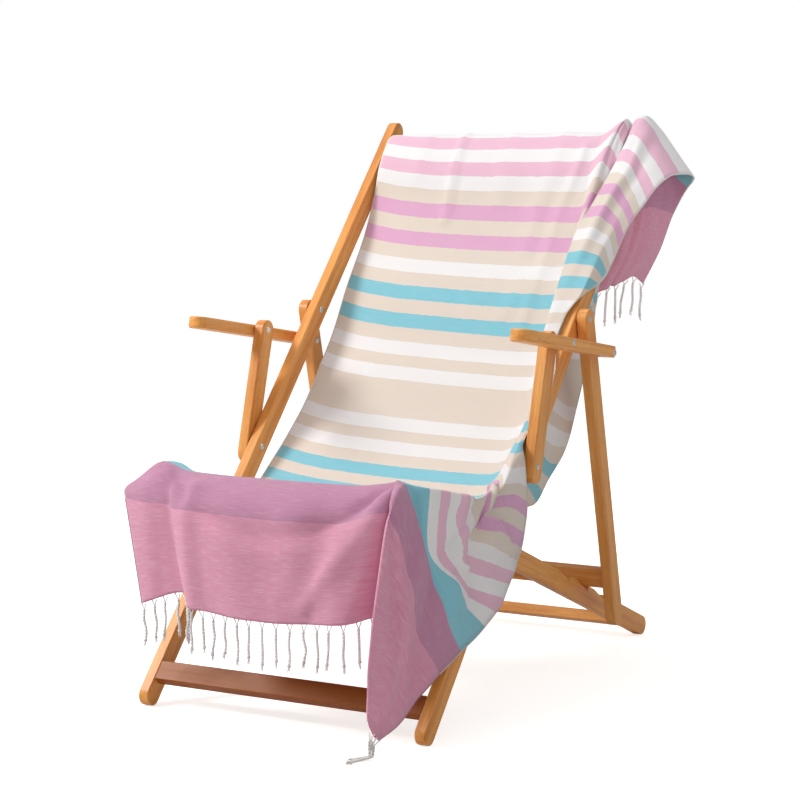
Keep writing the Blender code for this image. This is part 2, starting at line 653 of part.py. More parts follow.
def box_outline(start_at, angle, d0, d1, n0, n1):
    corners = ((d0, n0), (d1, n0), (d1, n1), (d0, n1))
    return [along(start_at, angle, d, n) for d, n in corners]


def bore(obj, name, centre, x0, x1):
    """Drills a bolt hole along X."""
    outline = []
    for k in range(12):
        angle = 2 * math.pi * (k + 0.5) / 12
        outline.append((centre[0] + BOLT_HOLE * math.cos(angle), centre[1] + BOLT_HOLE * math.sin(angle)))
    cutter = prism("cut_" + name, outline, x0 - 0.004, x1 + 0.004, cutters)
    cutter.hide_render = True
    cutter.display_type = "WIRE"
    cut = obj.modifiers.new("bore_" + name, "BOOLEAN")
    cut.operation = "DIFFERENCE"
    cut.solver = "EXACT"
    cut.object = cutter


def bolt(name, centre, x0, x1):
    """A bolt along X with a low head over each end face."""
    rings = (
        (x0 - HEAD_HEIGHT - GAP, 0.55 * HEAD_RADIUS),
        (x0 - 0.5 * HEAD_HEIGHT - GAP, 0.93 * HEAD_RADIUS),
        (x0 - GAP, HEAD_RADIUS),
        (x0 - GAP, BOLT_RADIUS),
        (x1 + GAP, BOLT_RADIUS),
        (x1 + GAP, HEAD_RADIUS),
        (x1 + 0.5 * HEAD_HEIGHT + GAP, 0.93 * HEAD_RADIUS),
        (x1 + HEAD_HEIGHT + GAP, 0.55 * HEAD_RADIUS),
    )
    n = 12
    points = []
    for x, radius in rings:
        for k in range(n):
            angle = 2 * math.pi * (k + 0.5) / n
            points.append((x, centre[0] + radius * math.cos(angle), centre[1] + radius * math.sin(angle)))
    faces = [list(range(n)), list(range((len(rings) - 1) * n, len(rings) * n))[::-1]]
    for r in range(len(rings) - 1):
        for k in range(n):
            j = (k + 1) % n
            faces.append([r * n + k, r * n + j, (r + 1) * n + j, (r + 1) * n + k])
    return mesh_object(name, points, faces)


def spacer(name, centre, x0, x1):
    """A turned wooden washer that keeps two frames apart."""
    n = 12
    points = []
    for x, radius in ((x0, 0.009), (x1, 0.009), (x1, BOLT_HOLE), (x0, BOLT_HOLE)):
        for k in range(n):
            angle = 2 * math.pi * (k + 0.5) / n
            points.append((x, centre[0] + radius * math.cos(angle), centre[1] + radius * math.sin(angle)))
    faces = []
    for r in range(4):
        for k in range(n):
            j = (k + 1) % n
            q = (r + 1) % 4
            faces.append([r * n + k, r * n + j, q * n + j, q * n + k])
    return mesh_object(name, points, faces)


def both_sides(inner, thickness):
    return (("l", -inner - thickness, -inner), ("r", inner, inner + thickness))


def back_frame():
    """Long frame from the front foot up to the top rail."""
    tip = along(FRONT_FOOT, A_ANGLE, A_LENGTH)
    outline = flat_foot(rail_outline(FRONT_FOOT, tip))
    for side, x0, x1 in both_sides(A_INNER, THICK):
        rail = prism("back_rail_" + side, outline, x0, x1)
        bore(rail, "back_cross_" + side, CROSSING, x0, x1)
        bore(rail, "back_prop_" + side, PROP_TOP, x0, x1)
        bore(rail, "back_strut_" + side, STRUT_FOOT, x0, x1)
    half = A_INNER - GAP
    foot = box_outline(FRONT_FOOT, A_ANGLE, 0.0237, 0.0612, -0.002, ROUND)
    prism("back_foot_rail", foot, -half, half)
    top = box_outline(FRONT_FOOT, A_ANGLE, 1.285, 1.323, -0.010, 0.010)
    prism("back_top_rail", top, -half, half)


def seat_frame():
    """Short frame from the rear foot forward to the seat's front rail, with the notches."""
    angle = math.atan2(B_FRONT[1] - REAR_FOOT[1], B_FRONT[0] - REAR_FOOT[0])
    length = math.hypot(B_FRONT[0] - REAR_FOOT[0], B_FRONT[1] - REAR_FOOT[1])
    front = end_arc(B_FRONT, angle)
    rear = end_arc(REAR_FOOT, angle + math.pi)
    teeth = []
    for wall in NOTCH_WALLS:
        d = (REAR_FOOT[0] + ROUND * math.sin(angle) - wall) / math.cos(math.pi - angle)
        teeth.append(along(REAR_FOOT, angle, d + NOTCH_RUN, -ROUND))
        teeth.append(along(REAR_FOOT, angle, d, -ROUND + NOTCH_DEPTH))
        teeth.append(along(REAR_FOOT, angle, d, -ROUND))
    outline = flat_foot(teeth + rear[::-1] + front[::-1])
    for side, x0, x1 in both_sides(B_INNER, THICK):
        rail = prism("seat_rail_" + side, outline, x0, x1)
        bore(rail, "seat_cross_" + side, CROSSING, x0, x1)
    half = B_INNER - GAP
    back = box_outline(REAR_FOOT, angle, 0.0137, 0.0502, -0.012, 0.009)
    prism("seat_rear_rail", back, -half, half)
    lip = box_outline(REAR_FOOT, angle, length - 0.012, length + 0.011, -0.001, 0.017)
    prism("seat_front_rail", lip, -half, half)


def prop_frame():
    """Legs that hang from the back frame and rest in the notches by a board."""
    outline = rail_outline(PROP_TOP, PROP_FOOT)
    for side, x0, x1 in both_sides(PROP_INNER, THICK):
        leg = prism("prop_leg_" + side, outline, x0, x1)
        bore(leg, "prop_top_" + side, PROP_TOP, x0, x1)
        bore(leg, "prop_arm_" + side, ARM_BOLT, x0, x1)
    lean = math.atan2(PROP_TOP[1] - PROP_FOOT[1], PROP_TOP[0] - PROP_FOOT[0])
    low = (0.7060, 0.1484)
    board = box_outline(low, lean, 0.0, BOARD_HEIGHT, -THICK, 0.0)
    prism("prop_board", board, -PROP_INNER + GAP, PROP_INNER - GAP)


def arms():
    """Armrests with half round front ends, bolted to the struts and the prop legs."""
    radius = ARM_WIDTH / 2
    along_arm = (math.cos(ARM_SLOPE), math.sin(ARM_SLOPE))
    down = (math.sin(ARM_SLOPE) * ARM_THICK, -math.cos(ARM_SLOPE) * ARM_THICK)
    for side, x0, x1 in both_sides(ARM_INNER, ARM_WIDTH):
        middle = (x0 + x1) / 2
        plan = [(x1, ARM_LENGTH), (x0, ARM_LENGTH)]
        for k in range(ARC_STEPS + 1):
            angle = math.pi + math.pi * k / ARC_STEPS
            plan.append((middle + radius * math.cos(angle), radius + radius * math.sin(angle)))
        n = len(plan)
        points = []
        for sunk in (0, 1):
            for x, d in plan:
                y = ARM_TIP[0] + d * along_arm[0] + sunk * down[0]
                z = ARM_TIP[1] + d * along_arm[1] + sunk * down[1]
                points.append((x, y, z))
        faces = [list(range(n)), list(range(n, 2 * n))[::-1]]
        for i in range(n):
            j = (i + 1) % n
            faces.append([i, j, n + j, n + i])
        arm = mesh_object("arm_" + side, points, faces)
        bore(arm, "arm_strut_" + side, STRUT_TOP, x0, x1)
        bore(arm, "arm_prop_" + side, ARM_BOLT, x0, x1)
    lean = math.atan2(STRUT_TOP[1] - STRUT_FOOT[1], STRUT_TOP[0] - STRUT_FOOT[0])
    low = along(STRUT_FOOT, lean, -STRUT_PAST)
    for side, x0, x1 in both_sides(PROP_INNER, THICK):
        strut = prism("strut_" + side, rail_outline(low, STRUT_TOP), x0, x1)
        bore(strut, "strut_top_" + side, STRUT_TOP, x0, x1)
        bore(strut, "strut_foot_" + side, STRUT_FOOT, x0, x1)


def bolts():
    spans = (
        # name,        centre,     inner face, outer face
        ("bolt_cross", CROSSING, B_INNER, A_INNER + THICK),
        ("bolt_prop", PROP_TOP, A_INNER, PROP_INNER + THICK),
        ("bolt_strut", STRUT_FOOT, A_INNER, PROP_INNER + THICK),
        ("bolt_arm_front", STRUT_TOP, PROP_INNER, ARM_INNER + ARM_WIDTH),
        ("bolt_arm_rear", ARM_BOLT, PROP_INNER, ARM_INNER + ARM_WIDTH),
    )
    for name, centre, inner, outer in spans:
        bolt(name + "_l", centre, -outer, -inner)
        bolt(name + "_r", centre, inner, outer)
    low, high = B_INNER + THICK + GAP, A_INNER - GAP
    spacer("spacer_l", CROSSING, -high, -low)
    spacer("spacer_r", CROSSING, low, high)


def thick_sheet(name, rows, thickness):
    """A closed sheet from a grid of points, thickened evenly about its middle."""
    rows = np.asarray(rows, float)
    down, across = rows.shape[:2]
    normal = grid_normals(rows)
    points = []
    for side in (0.5, -0.5):
        points.extend((rows + side * thickness * normal).reshape(-1, 3))
    layer = down * across
    faces = []
    for i in range(down - 1):
        for j in range(across - 1):
            a = i * across + j
            b, c, d = a + 1, a + across + 1, a + across
            if np.linalg.norm(points[a] - points[c]) <= np.linalg.norm(points[b] - points[d]):
                faces += [(a, b, c), (a, c, d)]
                faces += [(layer + a, layer + c, layer + b), (layer + a, layer + d, layer + c)]
            else:
                faces += [(a, b, d), (b, c, d)]
                faces += [(layer + a, layer + d, layer + b), (layer + b, layer + d, layer + c)]
    edge = [j for j in range(across)]
    edge += [i * across + across - 1 for i in range(1, down)]
    edge += [(down - 1) * across + j for j in range(across - 2, -1, -1)]
    edge += [i * across for i in range(down - 2, 0, -1)]
    for k, a in enumerate(edge):
        b = edge[(k + 1) % len(edge)]
        faces.append((a, b, layer + b, layer + a))
    return mesh_object(name, points, faces)


def sling():
    """The chair's own seat cloth, hidden just under the towel."""
    under = [s for s in ROWS if 0.262 < s < 1.60]
    rows = towel_grid(under, STEPS_BETWEEN_LINES)[1][:, SLING_COLUMNS]
    thick_sheet("sling", rows - SLING_UNDER * grid_normals(rows), SLING_CLOTH)


def towel():
    thick_sheet("towel", folded_grid(ROWS, STEPS_BETWEEN_LINES)[1], CLOTH)


def hem_frame(end, columns):
    """Points just off a hem, with the direction that leads off the cloth and its normal."""
    rows = folded_grid(ROWS, STEPS_BETWEEN_LINES)[1][:, columns]
    hem, inside = (rows[0], rows[1]) if end == "front" else (rows[-1], rows[-2])
    off = hem - inside
    off /= np.linalg.norm(off, axis=1, keepdims=True)
    run = np.gradient(hem, axis=0)
    normal = np.cross(run, off)
    normal /= np.linalg.norm(normal, axis=1, keepdims=True)
    return hem, off, normal


def fringe(name, end, columns):
    """A narrow strip just off the hem with cords at an even pitch, hanging straight down."""
    hem, off, normal = hem_frame(end, columns)
    rows = [hem + off * (STRIP_GAP + STRIP * k) for k in (0, 1)]
    strip = thick_sheet(name, rows, 0.0022)
    gaps = np.linalg.norm(np.diff(hem, axis=0), axis=1)
    run = np.concatenate([[0], np.cumsum(gaps)])
    count = max(2, int(run[-1] // PITCH))
    points, faces = [], []
    for k in range(count + 1):
        at = 0.0045 + (run[-1] - 0.009) * k / count
        root = np.array([np.interp(at, run, hem[:, i]) for i in range(3)])
        lead = np.array([np.interp(at, run, off[:, i]) for i in range(3)])
        lead /= np.linalg.norm(lead)
        slope = np.array([np.interp(at + 0.01, run, hem[:, 2]) - np.interp(at - 0.01, run, hem[:, 2])])
        steep = min(1.0, abs(float(slope[0])) / 0.02)
        one, sides = cord(root, lead, k, steep)
        faces += [[len(points) + v for v in side] for side in sides]
        points += one
    mesh = bpy.data.meshes.new(name + "_cords")
    mesh.from_pydata(points, [], faces)
    cords = bpy.data.objects.new(name + "_cords", mesh)
    cutters.objects.link(cords)
    cords.hide_render = True
    cords.display_type = "WIRE"
    join = strip.modifiers.new("cords", "BOOLEAN")
    join.operation = "UNION"
    join.solver = "EXACT"
    join.object = cords


def cord(root, lead, number, steep):
    """One four-sided cord: out of the strip along the cloth, then straight down, knot near its end."""
    sway = np.array([math.sin(2.1 * number), math.cos(1.7 * number), 0.0]) * 0.003
    reach = CORD_LENGTH * (0.94 + 0.06 * math.sin(3.3 * number))
    stations = (
        # distance down, share along the cloth, radius
        (0.0022, 1.0, CORD * 0.60),
        (0.0120, 0.7, CORD),
        (0.78 * reach, 0.12, CORD),
        (0.86 * reach, 0.11, CORD * 1.7),
        (1.00 * reach, 0.10, CORD * 0.9),
    )
    points = []
    side = np.cross(lead, (0.31, 0.2, 0.93))
    side /= np.linalg.norm(side)
    fall = np.array([0.0, 0.0, -1.0]) + 1.2 * steep ** 2 * lead
    fall /= np.linalg.norm(fall)
    for distance, share, radius in stations:
        drop = lead * min(distance, 0.006) + fall * max(distance - 0.006, 0.0)
        centre = root + drop + sway * min(1.0, distance / reach)
        if centre[2] < FLOOR_CORD:
            flat = np.array([lead[0], lead[1] - 0.3, 0.0])
            centre += flat / np.linalg.norm(flat) * (FLOOR_CORD - centre[2])
            centre[2] = FLOOR_CORD
        centre += np.asarray(SHIFT)
        down = lead if distance < 0.006 else fall
        first = side - down * np.dot(side, down)
        first /= np.linalg.norm(first)
        second = np.cross(down, first)
        for q in range(4):
            angle = math.pi / 4 + math.pi / 2 * q
            points.append(centre + (first * math.cos(angle) + second * math.sin(angle)) * radius)
    last = 4 * (len(stations) - 1)
    faces = [[3, 2, 1, 0], [last, last + 1, last + 2, last + 3]]
    for k in range(len(stations) - 1):
        for q in range(4):
            a, b = 4 * k + q, 4 * k + (q + 1) % 4
            faces.append([a, b, b + 4, a + 4])
    return points, faces


start()
back_frame()
seat_frame()
prop_frame()
arms()
bolts()
sling()
towel()
fringe("fringe_front", "front", slice(0, 16))
fringe("fringe_corner", "front", slice(27, 33))
fringe("fringe_back", "back", slice(0, 33))
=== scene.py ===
"""Beach towel draped over a folding deck chair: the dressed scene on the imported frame.

Metres, +Z up, the chair's front faces -Y. The towel's lines are the ones that the solid
is drawn from. S runs along the cloth from its front hem, T across it from its left edge.
"""

import math

import bmesh
import bpy
import numpy as np
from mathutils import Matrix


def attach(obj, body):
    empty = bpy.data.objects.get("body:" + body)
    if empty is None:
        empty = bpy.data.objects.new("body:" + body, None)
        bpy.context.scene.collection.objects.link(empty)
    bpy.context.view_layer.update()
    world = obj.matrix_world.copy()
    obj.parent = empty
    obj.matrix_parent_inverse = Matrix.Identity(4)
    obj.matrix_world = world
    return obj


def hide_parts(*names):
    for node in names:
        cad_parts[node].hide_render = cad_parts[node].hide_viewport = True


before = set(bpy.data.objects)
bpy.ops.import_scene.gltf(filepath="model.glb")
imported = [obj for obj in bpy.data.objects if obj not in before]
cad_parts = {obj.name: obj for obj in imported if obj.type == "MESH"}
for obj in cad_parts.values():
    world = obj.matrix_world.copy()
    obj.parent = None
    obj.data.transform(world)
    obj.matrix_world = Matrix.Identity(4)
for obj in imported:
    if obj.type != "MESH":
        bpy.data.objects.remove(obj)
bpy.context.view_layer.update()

# ---- where the chair's centre plane, front foot and floor lie in the finished frame
SHIFT = (-0.0106, -0.4180, 0.0)

# ---- timber frames: every rail is 38 mm deep and 20 mm thick
DEPTH = 0.038
THICK = 0.020
ROUND = DEPTH / 2
GAP = 0.0003
EASED = 0.0016
ARM_EASED = 0.003
SHARP_FROM = math.radians(40.0)
BEVEL_FROM = math.radians(50)
ARC_STEPS = 20

REAR_FOOT = (0.997, ROUND)
FRONT_FOOT = (0.0, ROUND)
A_ANGLE = math.radians(48.82)
A_LENGTH = 1.3526
A_INNER = 0.2725
B_INNER = 0.2275
B_FRONT = (-0.005, 0.4143)
PROP_INNER = 0.2945
PROP_TOP = (0.577, 0.680)
PROP_FOOT = (0.722, 0.094)
STRUT_TOP = (0.4172, 0.6486)
STRUT_FOOT = (0.3585, 0.4287)
STRUT_PAST = 0.012
ARM_INNER = 0.3165
ARM_WIDTH = 0.040
ARM_THICK = 0.022
ARM_TIP = (0.228, 0.6848)
ARM_SLOPE = math.radians(-8.4)
ARM_LENGTH = 0.3785
NOTCH_WALLS = (0.648, 0.728, 0.808, 0.888)
NOTCH_RUN = 0.055
NOTCH_DEPTH = 0.0095
BOARD_FOOT = (0.7060, 0.1484)
BOARD_HEIGHT = 0.0373
# Rungs: from and to along their rail, and from and to square to it.
FOOT_RUNG = (0.0237, 0.0612, -0.002, ROUND)
TOP_RUNG = (1.285, 1.323, -0.010, 0.010)
REAR_RUNG = (0.0137, 0.0502, -0.012, 0.009)
# The front rung, measured from the seat rail's front end.
LIP_RUNG = (-0.012, 0.011, -0.001, 0.017)

ACROSS = (1.0, 0.0, 0.0)
BACKWARD = (0.0, 1.0, 0.0)

# ---- cloth
WIDTH = 0.92
LENGTH = 1.92
CLOTH_SEEN = 0.0016
FINE_ROWS = 300
FINE_STEPS = (9, 5, 18, 12, 6, 8, 12, 8, 5, 10, 9, 5)
THREAD_PITCH = 0.0011
THREAD_DEPTH = 0.00022

SLING_CLOTH = 0.0016
SLING_UNDER = 0.0038
# How much lower the left edge of the drawn sling lies, at its first columns.
SLING_EDGE_DROP = (0.0009, 0.0006, 0.0003)
SLING_RUN = (0.2625, 1.599)
SLING_ROWS = 150
SLING_ACROSS = 0.42

# ---- fringe
PITCH = 0.0265
END_INSET = 0.0045
CORD_LENGTH = 0.084
FLOOR_CORD = 0.0045
LEAD = 0.006
PATH_STEPS = 26
PLY = 0.0015
TWIST = 0.0120
TWIST_FROM = 0.012
TWIST_TO = 0.86
TWIST_STEPS = 44
ROOT_SPREAD = 0.0052
KNOT_AT = 0.87
KNOT_RADIUS = 0.0022
KNOT_HEIGHT = 0.0030
KNOT_TURNS = 1.6
KNOT_STEPS = 14
KNOT_CORD = 0.0017
TUFT = 7
TUFT_RADII = (0.0008, 0.0006, 0.00025)
# directions that no cord runs along
HELPER = np.array([0.83, 0.41, 0.37])
TUBE_HELPER = np.array([0.37, 0.61, 0.70])

# ---- lights and camera
FLOOR_LIFT = 0.67
SKY_LOW = 0.27
SKY_HIGH = 0.56
KEY_POWER = 124.0
TOP_POWER = 25.0
FILL_POWER = 8.0
KICKER_POWER = 160.0
CAMERA_AT = (1.9888, -3.0952, 0.9415)
CAMERA_YAW = 29.54
CAMERA_PITCH = 5.86
CAMERA_LENS = 97.43
SENSOR = 36.0
PLAIN_LIGHT = (1.0, 1.0, 1.0)


def in_mm(*rows):
    """A table that is written in millimetres, in metres."""
    return np.array(rows, float) / 1000


# The cloth's middle line. S along the cloth, y and z where it lies.
PROFILE = in_mm(
    # s, y, z
    (0, -88, 197), (100, -88, 287), (190, -83, 370), (240, -50, 412), (280, -8, 427.5),
    (305, 15.5, 420), (335, 30, 395), (395, 62, 345), (455, 110, 309), (515, 170, 297),
    (575, 235, 307), (640, 293, 337), (700, 338, 373.5), (826, 439, 453), (903, 496, 505),
    (986, 549, 569), (1057, 595, 623.5), (1173, 658, 721), (1304, 735, 827), (1391, 776, 904),
    (1451, 797.5, 960), (1502, 825, 1003), (1532, 846, 1024.5), (1550, 864, 1029.5),
    (1567, 886.5, 1014.5), (1600, 895, 980), (1700, 898, 880), (1920, 902, 662),
)

# Lines that keep to the middle line: T across the cloth, x, and the offsets from PROFILE.
LEFT_EDGE = in_mm(
    # s, t, x, dy, dz
    (0, 0, -274, 58, -6), (100, 0, -290, 58, -4), (190, 0, -307, 53, 5),
    (240, 0, -316, 32, -20), (280, 0, -302, 14, -24), (335, 0, -284, 14, 20),
    (395, 0, -272, 20, 64), (455, 0, -266, 14, 86), (515, 0, -264, 9, 76),
    (575, 0, -262, 3, 43), (640, 0, -262, 2, 6), (700, 0, -260, 2, 3), (903, 0, -258, 0, 4),
    (1200, 0, -262, 0, 3), (1550, 0, -268, 0, 0), (1920, 0, -266, 0, -2),
)
LEFT_FOLD = in_mm(
    # s, t, x, dy, dz
    (0, 100, -187, 53, 22), (100, 95, -200, 48, 12), (190, 90, -207, 30, 6),
    (240, 75, -226, 18, 14), (280, 60, -237.5, 0, 16), (305, 55, -231, 3, 20),
    (335, 50, -229, 5, 36), (395, 45, -228, 13, 69), (455, 40, -228, 12, 87),
    (515, 40, -228, 7, 76), (575, 40, -228, 3, 43), (605, 40, -228, 3, 22),
    (640, 40, -222, 1, 4), (700, 40, -220, 1, 1), (1550, 40, -228, 0, 0),
    (1920, 40, -226, 0, 0),
)
LEFT_PANEL = in_mm(
    # s, t, x, dy, dz
    (0, 135, -145, 20, 8), (100, 135, -160, 16, 3), (190, 135, -172, 14, 2),
    (240, 130, -178, 6, 4), (280, 125, -178, 0, 2), (335, 105, -180, 4, 9),
    (455, 105, -175, 2, 22), (575, 105, -170, 0, 8), (700, 105, -160, 0, -2),
    (1550, 105, -165, 0, 0), (1920, 105, -163, 0, 0),
)
MIDDLE = in_mm(
    # s, t, x, dy, dz
    (0, 330, 30, 0, 0), (280, 320, 20, 0, 0), (700, 285, 10, 4, -11), (1200, 285, 8, 4, -10),
    (1500, 285, 5, 1, -2), (1920, 285, 5, 0, 3),
)
RIGHT_PANEL = in_mm(
    # s, t, x, dy, dz
    (0, 455, 140, 4, 6), (100, 455, 145, 3, 4), (190, 455, 152, 6, 4), (240, 450, 158, 6, 4),
    (280, 450, 158, 0, 2), (395, 440, 160, 0, 6), (515, 440, 160, 0, 6),
    (700, 440, 160, 4, -14), (1100, 440, 160, 5, -16), (1350, 440, 165, 2, -8),
    (1500, 440, 190, 0, 0), (1600, 440, 190, 0, 2), (1920, 440, 150, 0, 28),
)
# The foot of the step where the gathered cloth by the rail begins.
SHOULDER = in_mm(
    # s, t, x, dy, dz
    (0, 500, 178, 22, 12), (100, 498, 186, 19, 8), (190, 495, 193, 16, 12),
    (240, 491, 197, 11, 10), (280, 489, 196, 0, 6), (335, 473, 185, 2, 9),
    (395, 468, 185, 3, 16), (455, 465, 185, 2, 20), (515, 465, 185, 1, 18),
    (575, 465, 186, 1, 7), (640, 468, 190, 2, -5), (700, 470, 196, 3, -12),
    (900, 472, 200, 4.5, -14.5), (1100, 468, 195, 5, -15), (1240, 472, 198, 3, -11),
    (1350, 480, 204, 2, -7), (1450, 482, 208, 1, -2), (1502, 478, 213, 0, 1),
    (1550, 475, 216, 0, 3), (1600, 480, 224, 1, 8), (1727, 482, 212, 3, 18),
    (1820, 476, 198, 2, 27), (1920, 470, 170, 2, 40),
)
CREASE = in_mm(
    # s, t, x, dy, dz
    (0, 540, 212, 46, 20), (100, 538, 222, 42, 14), (190, 535, 232, 34, 26),
    (240, 532, 233, 20, 19), (280, 528, 231, -1, 12.5), (305, 515, 215, 2, 10),
    (335, 505, 208, 4, 15), (395, 495, 207, 6, 30), (455, 490, 207, 4, 38),
    (515, 490, 207, 2, 34), (575, 490, 209, 1, 20), (640, 495, 218, 0, 4),
    (700, 500, 230, 2, -8), (900, 500, 232, 4, -10), (1100, 494, 213, 3, -2),
    (1240, 492, 211, 4, 6), (1350, 505, 220, 3, 15), (1450, 522, 236, 1, 19),
    (1502, 530, 250, 1, 25), (1550, 535, 259, -1, 27.5), (1567, 535, 259, -1, 30),
    (1600, 535, 257, 4, 28), (1727, 520, 248, 6, 30), (1820, 510, 232, 4, 38),
    (1920, 500, 190, 4, 53),
)

# Lines of the loop, the rail and the drape on the right: T, and where they lie.
LOOP = in_mm(
    # s, t, x, y, z
    (0, 700, 238, -5, 140), (100, 620, 236, -26, 250), (190, 575, 238, -30, 385),
    (240, 552, 240.5, -22, 435), (280, 542, 236.5, -12, 443), (305, 538, 232, 14, 437),
    (335, 535, 228.5, 32, 431), (395, 535, 228, 75, 414), (455, 535, 228, 123, 395),
    (515, 535, 228, 180, 372), (575, 545, 228.5, 240, 349), (610, 590, 250, 325, 345),
    (640, 620, 253, 388, 340), (700, 640, 253, 458, 340), (850, 660, 253, 542, 388),
    (900, 660, 253, 598, 425), (1000, 660, 250, 660, 506), (1100, 650, 248, 720, 613),
    (1240, 650, 248, 760, 722), (1350, 650, 254, 797, 818), (1450, 650, 261, 812, 935),
    (1502, 650, 264, 828, 993), (1532, 640, 266.5, 850, 1024), (1550, 640, 267, 870, 1033),
    (1567, 640, 267, 889, 1024), (1600, 640, 267, 903, 988), (1727, 640, 262, 930, 880),
    (1820, 640, 245, 932, 798), (1920, 640, 205, 932, 723),
)
# The top of the roll: on the front drape its ridge, then the edge it hangs from, then the rail.
ROLL = in_mm(
    # s, t, x, y, z
    (0, 860, 249, -131, 66), (50, 780, 249, -130, 130), (100, 700, 251, -121, 205),
    (150, 635, 256, -103, 300), (190, 595, 260, -80, 395), (240, 565, 256, -38, 434),
    (280, 556, 249, -10, 437), (335, 570, 270, 15, 430), (395, 575, 285, 63, 420),
    (455, 590, 292, 118, 407), (515, 610, 296, 182, 396), (575, 680, 290, 227, 402),
    (605, 720, 285, 256, 408), (660, 775, 279, 291, 424), (700, 810, 276, 318, 448),
    (785, 870, 274, 379, 494), (900, 870, 274, 454, 575.5), (1000, 866, 254, 514, 650),
    (1100, 860, 257, 579.5, 723), (1240, 848, 264, 662, 826), (1350, 820, 272, 734, 904),
    (1450, 790, 279, 800, 976), (1502, 780, 282, 834, 1019), (1532, 780, 286, 866, 1054),
    (1550, 780, 288, 884, 1063), (1567, 780, 288, 903, 1060.5), (1600, 780, 285, 918.5, 1030),
    (1727, 770, 278, 946, 885), (1820, 760, 255, 955, 796), (1920, 740, 216, 957, 733),
)
DRAPE_UPPER = in_mm(
    # s, t, x, y, z
    (0, 880, 250, -122, 47), (50, 830, 256, -102, 105), (100, 780, 262, -80, 170),
    (180, 710, 270, -50, 285), (240, 680, 278, -20, 322), (280, 670, 283, -4, 335),
    (335, 675, 283, -3, 342), (395, 680, 293, 34, 324), (455, 695, 299, 85, 322),
    (515, 705, 296, 150, 342), (575, 750, 295, 185, 363), (605, 775, 298, 218, 381),
    (660, 820, 299, 260, 415), (700, 845, 293, 300, 448), (785, 885, 281, 378, 495.5),
    (900, 885, 282, 453.5, 576.5), (1000, 885, 264, 514.5, 650), (1100, 880, 272, 580, 723),
    (1240, 870, 282, 664, 823), (1350, 855, 288, 733, 897.5), (1450, 830, 298, 795, 964),
    (1502, 825, 303, 829, 1004), (1532, 825, 306, 861, 1040), (1550, 825, 308, 885, 1045),
    (1567, 825, 309, 908, 1040), (1600, 825, 312, 932, 1006), (1727, 820, 288, 966, 880),
    (1820, 810, 262, 976, 793.5), (1920, 800, 226, 977, 742),
)
DRAPE_LOWER = in_mm(
    # s, t, x, y, z
    (0, 900, 252, -114, 35), (50, 875, 259, -88, 66), (100, 850, 267, -58, 115),
    (180, 815, 278, -20, 185), (240, 805, 290, 22, 208), (280, 800, 297, 48, 222),
    (335, 800, 301, 82, 240), (395, 800, 301, 122, 243), (455, 800, 301, 158, 276),
    (515, 800, 304, 200, 318), (575, 835, 306, 247, 356), (605, 850, 306, 268, 378),
    (660, 870, 306, 298, 412), (700, 882, 302, 318, 450), (740, 895, 288, 345, 474),
    (785, 902, 286, 378, 498.5), (840, 902, 288, 415, 531), (870, 902, 294.5, 433, 556),
    (900, 902, 296, 454, 575.5), (1000, 902, 270, 515.5, 650), (1050, 902, 271, 547, 687),
    (1100, 900, 291, 580, 724), (1140, 900, 296.5, 604, 751), (1240, 895, 301, 669, 814),
    (1350, 885, 307, 730, 878), (1450, 875, 322, 785, 932), (1502, 872, 334, 820, 970),
    (1532, 872, 342, 853, 988), (1550, 872, 347, 886, 994), (1567, 872, 348, 912, 987),
    (1600, 872, 340, 940, 966), (1727, 870, 298, 986, 875), (1820, 865, 266, 995, 792),
    (1920, 860, 231, 995, 734),
)
RIGHT_EDGE = in_mm(
    # s, t, x, y, z
    (0, 920, 255, -105, 28), (60, 920, 266, -65, 44), (120, 920, 279, -17, 80),
    (180, 920, 291, 26, 110), (265, 920, 301, 85, 139), (335, 920, 303, 155, 161),
    (395, 920, 305, 225, 196), (455, 920, 306, 273, 239), (515, 920, 306, 306, 276),
    (575, 920, 306, 326, 325), (605, 920, 306, 333, 352), (660, 920, 304, 335, 402),
    (695, 920, 301, 333, 445), (725, 920, 292, 343, 468), (785, 920, 290.5, 379, 497.5),
    (840, 920, 292.5, 418, 529), (870, 920, 297.5, 441, 546), (900, 920, 296.5, 457, 576),
    (925, 920, 294, 471, 594), (950, 920, 288, 486, 612), (1000, 920, 275, 517, 650),
    (1050, 920, 277, 548, 686.5), (1075, 920, 285, 567, 707), (1105, 920, 296.5, 594, 726.5),
    (1140, 920, 300.5, 640, 740), (1185, 920, 305, 661, 752), (1260, 920, 312, 684, 783),
    (1350, 920, 325, 723, 846), (1440, 920, 340, 769, 892), (1500, 920, 360, 806, 933),
    (1530, 920, 372, 842, 947), (1550, 920, 378, 884, 948), (1567, 920, 379, 915, 944),
    (1600, 920, 366, 945, 933), (1637, 920, 349, 965, 922), (1727, 920, 305, 1000, 871),
    (1820, 920, 270, 1010, 791), (1920, 920, 235, 1010, 725),
)
# Where the loop rises beside the rail's inner face: T, x, and how far it is from ROLL
# square to the rail, toward the loop. Outside WALL_RUN it keeps between the two.
WALL = in_mm(
    # s, t, x, away
    (0, 780, 237, 0), (100, 660, 237, 0), (190, 585, 244, 0), (240, 559, 247, 0),
    (280, 550, 244, 0), (335, 555, 250, 2), (395, 556, 256, 2), (515, 575, 264, 3),
    (575, 620, 264, 6), (640, 700, 265, 12), (700, 750, 265.5, 14), (900, 820, 265.5, 13),
    (1000, 815, 244, 8), (1100, 802, 237, 6), (1240, 780, 235, 5), (1350, 765, 248, 6),
    (1450, 740, 260, 8), (1532, 720, 270, 6), (1600, 720, 272, 6), (1727, 710, 269, 0),
    (1920, 700, 210, 0),
)
WALL_RUN = (0.6, 1.6)
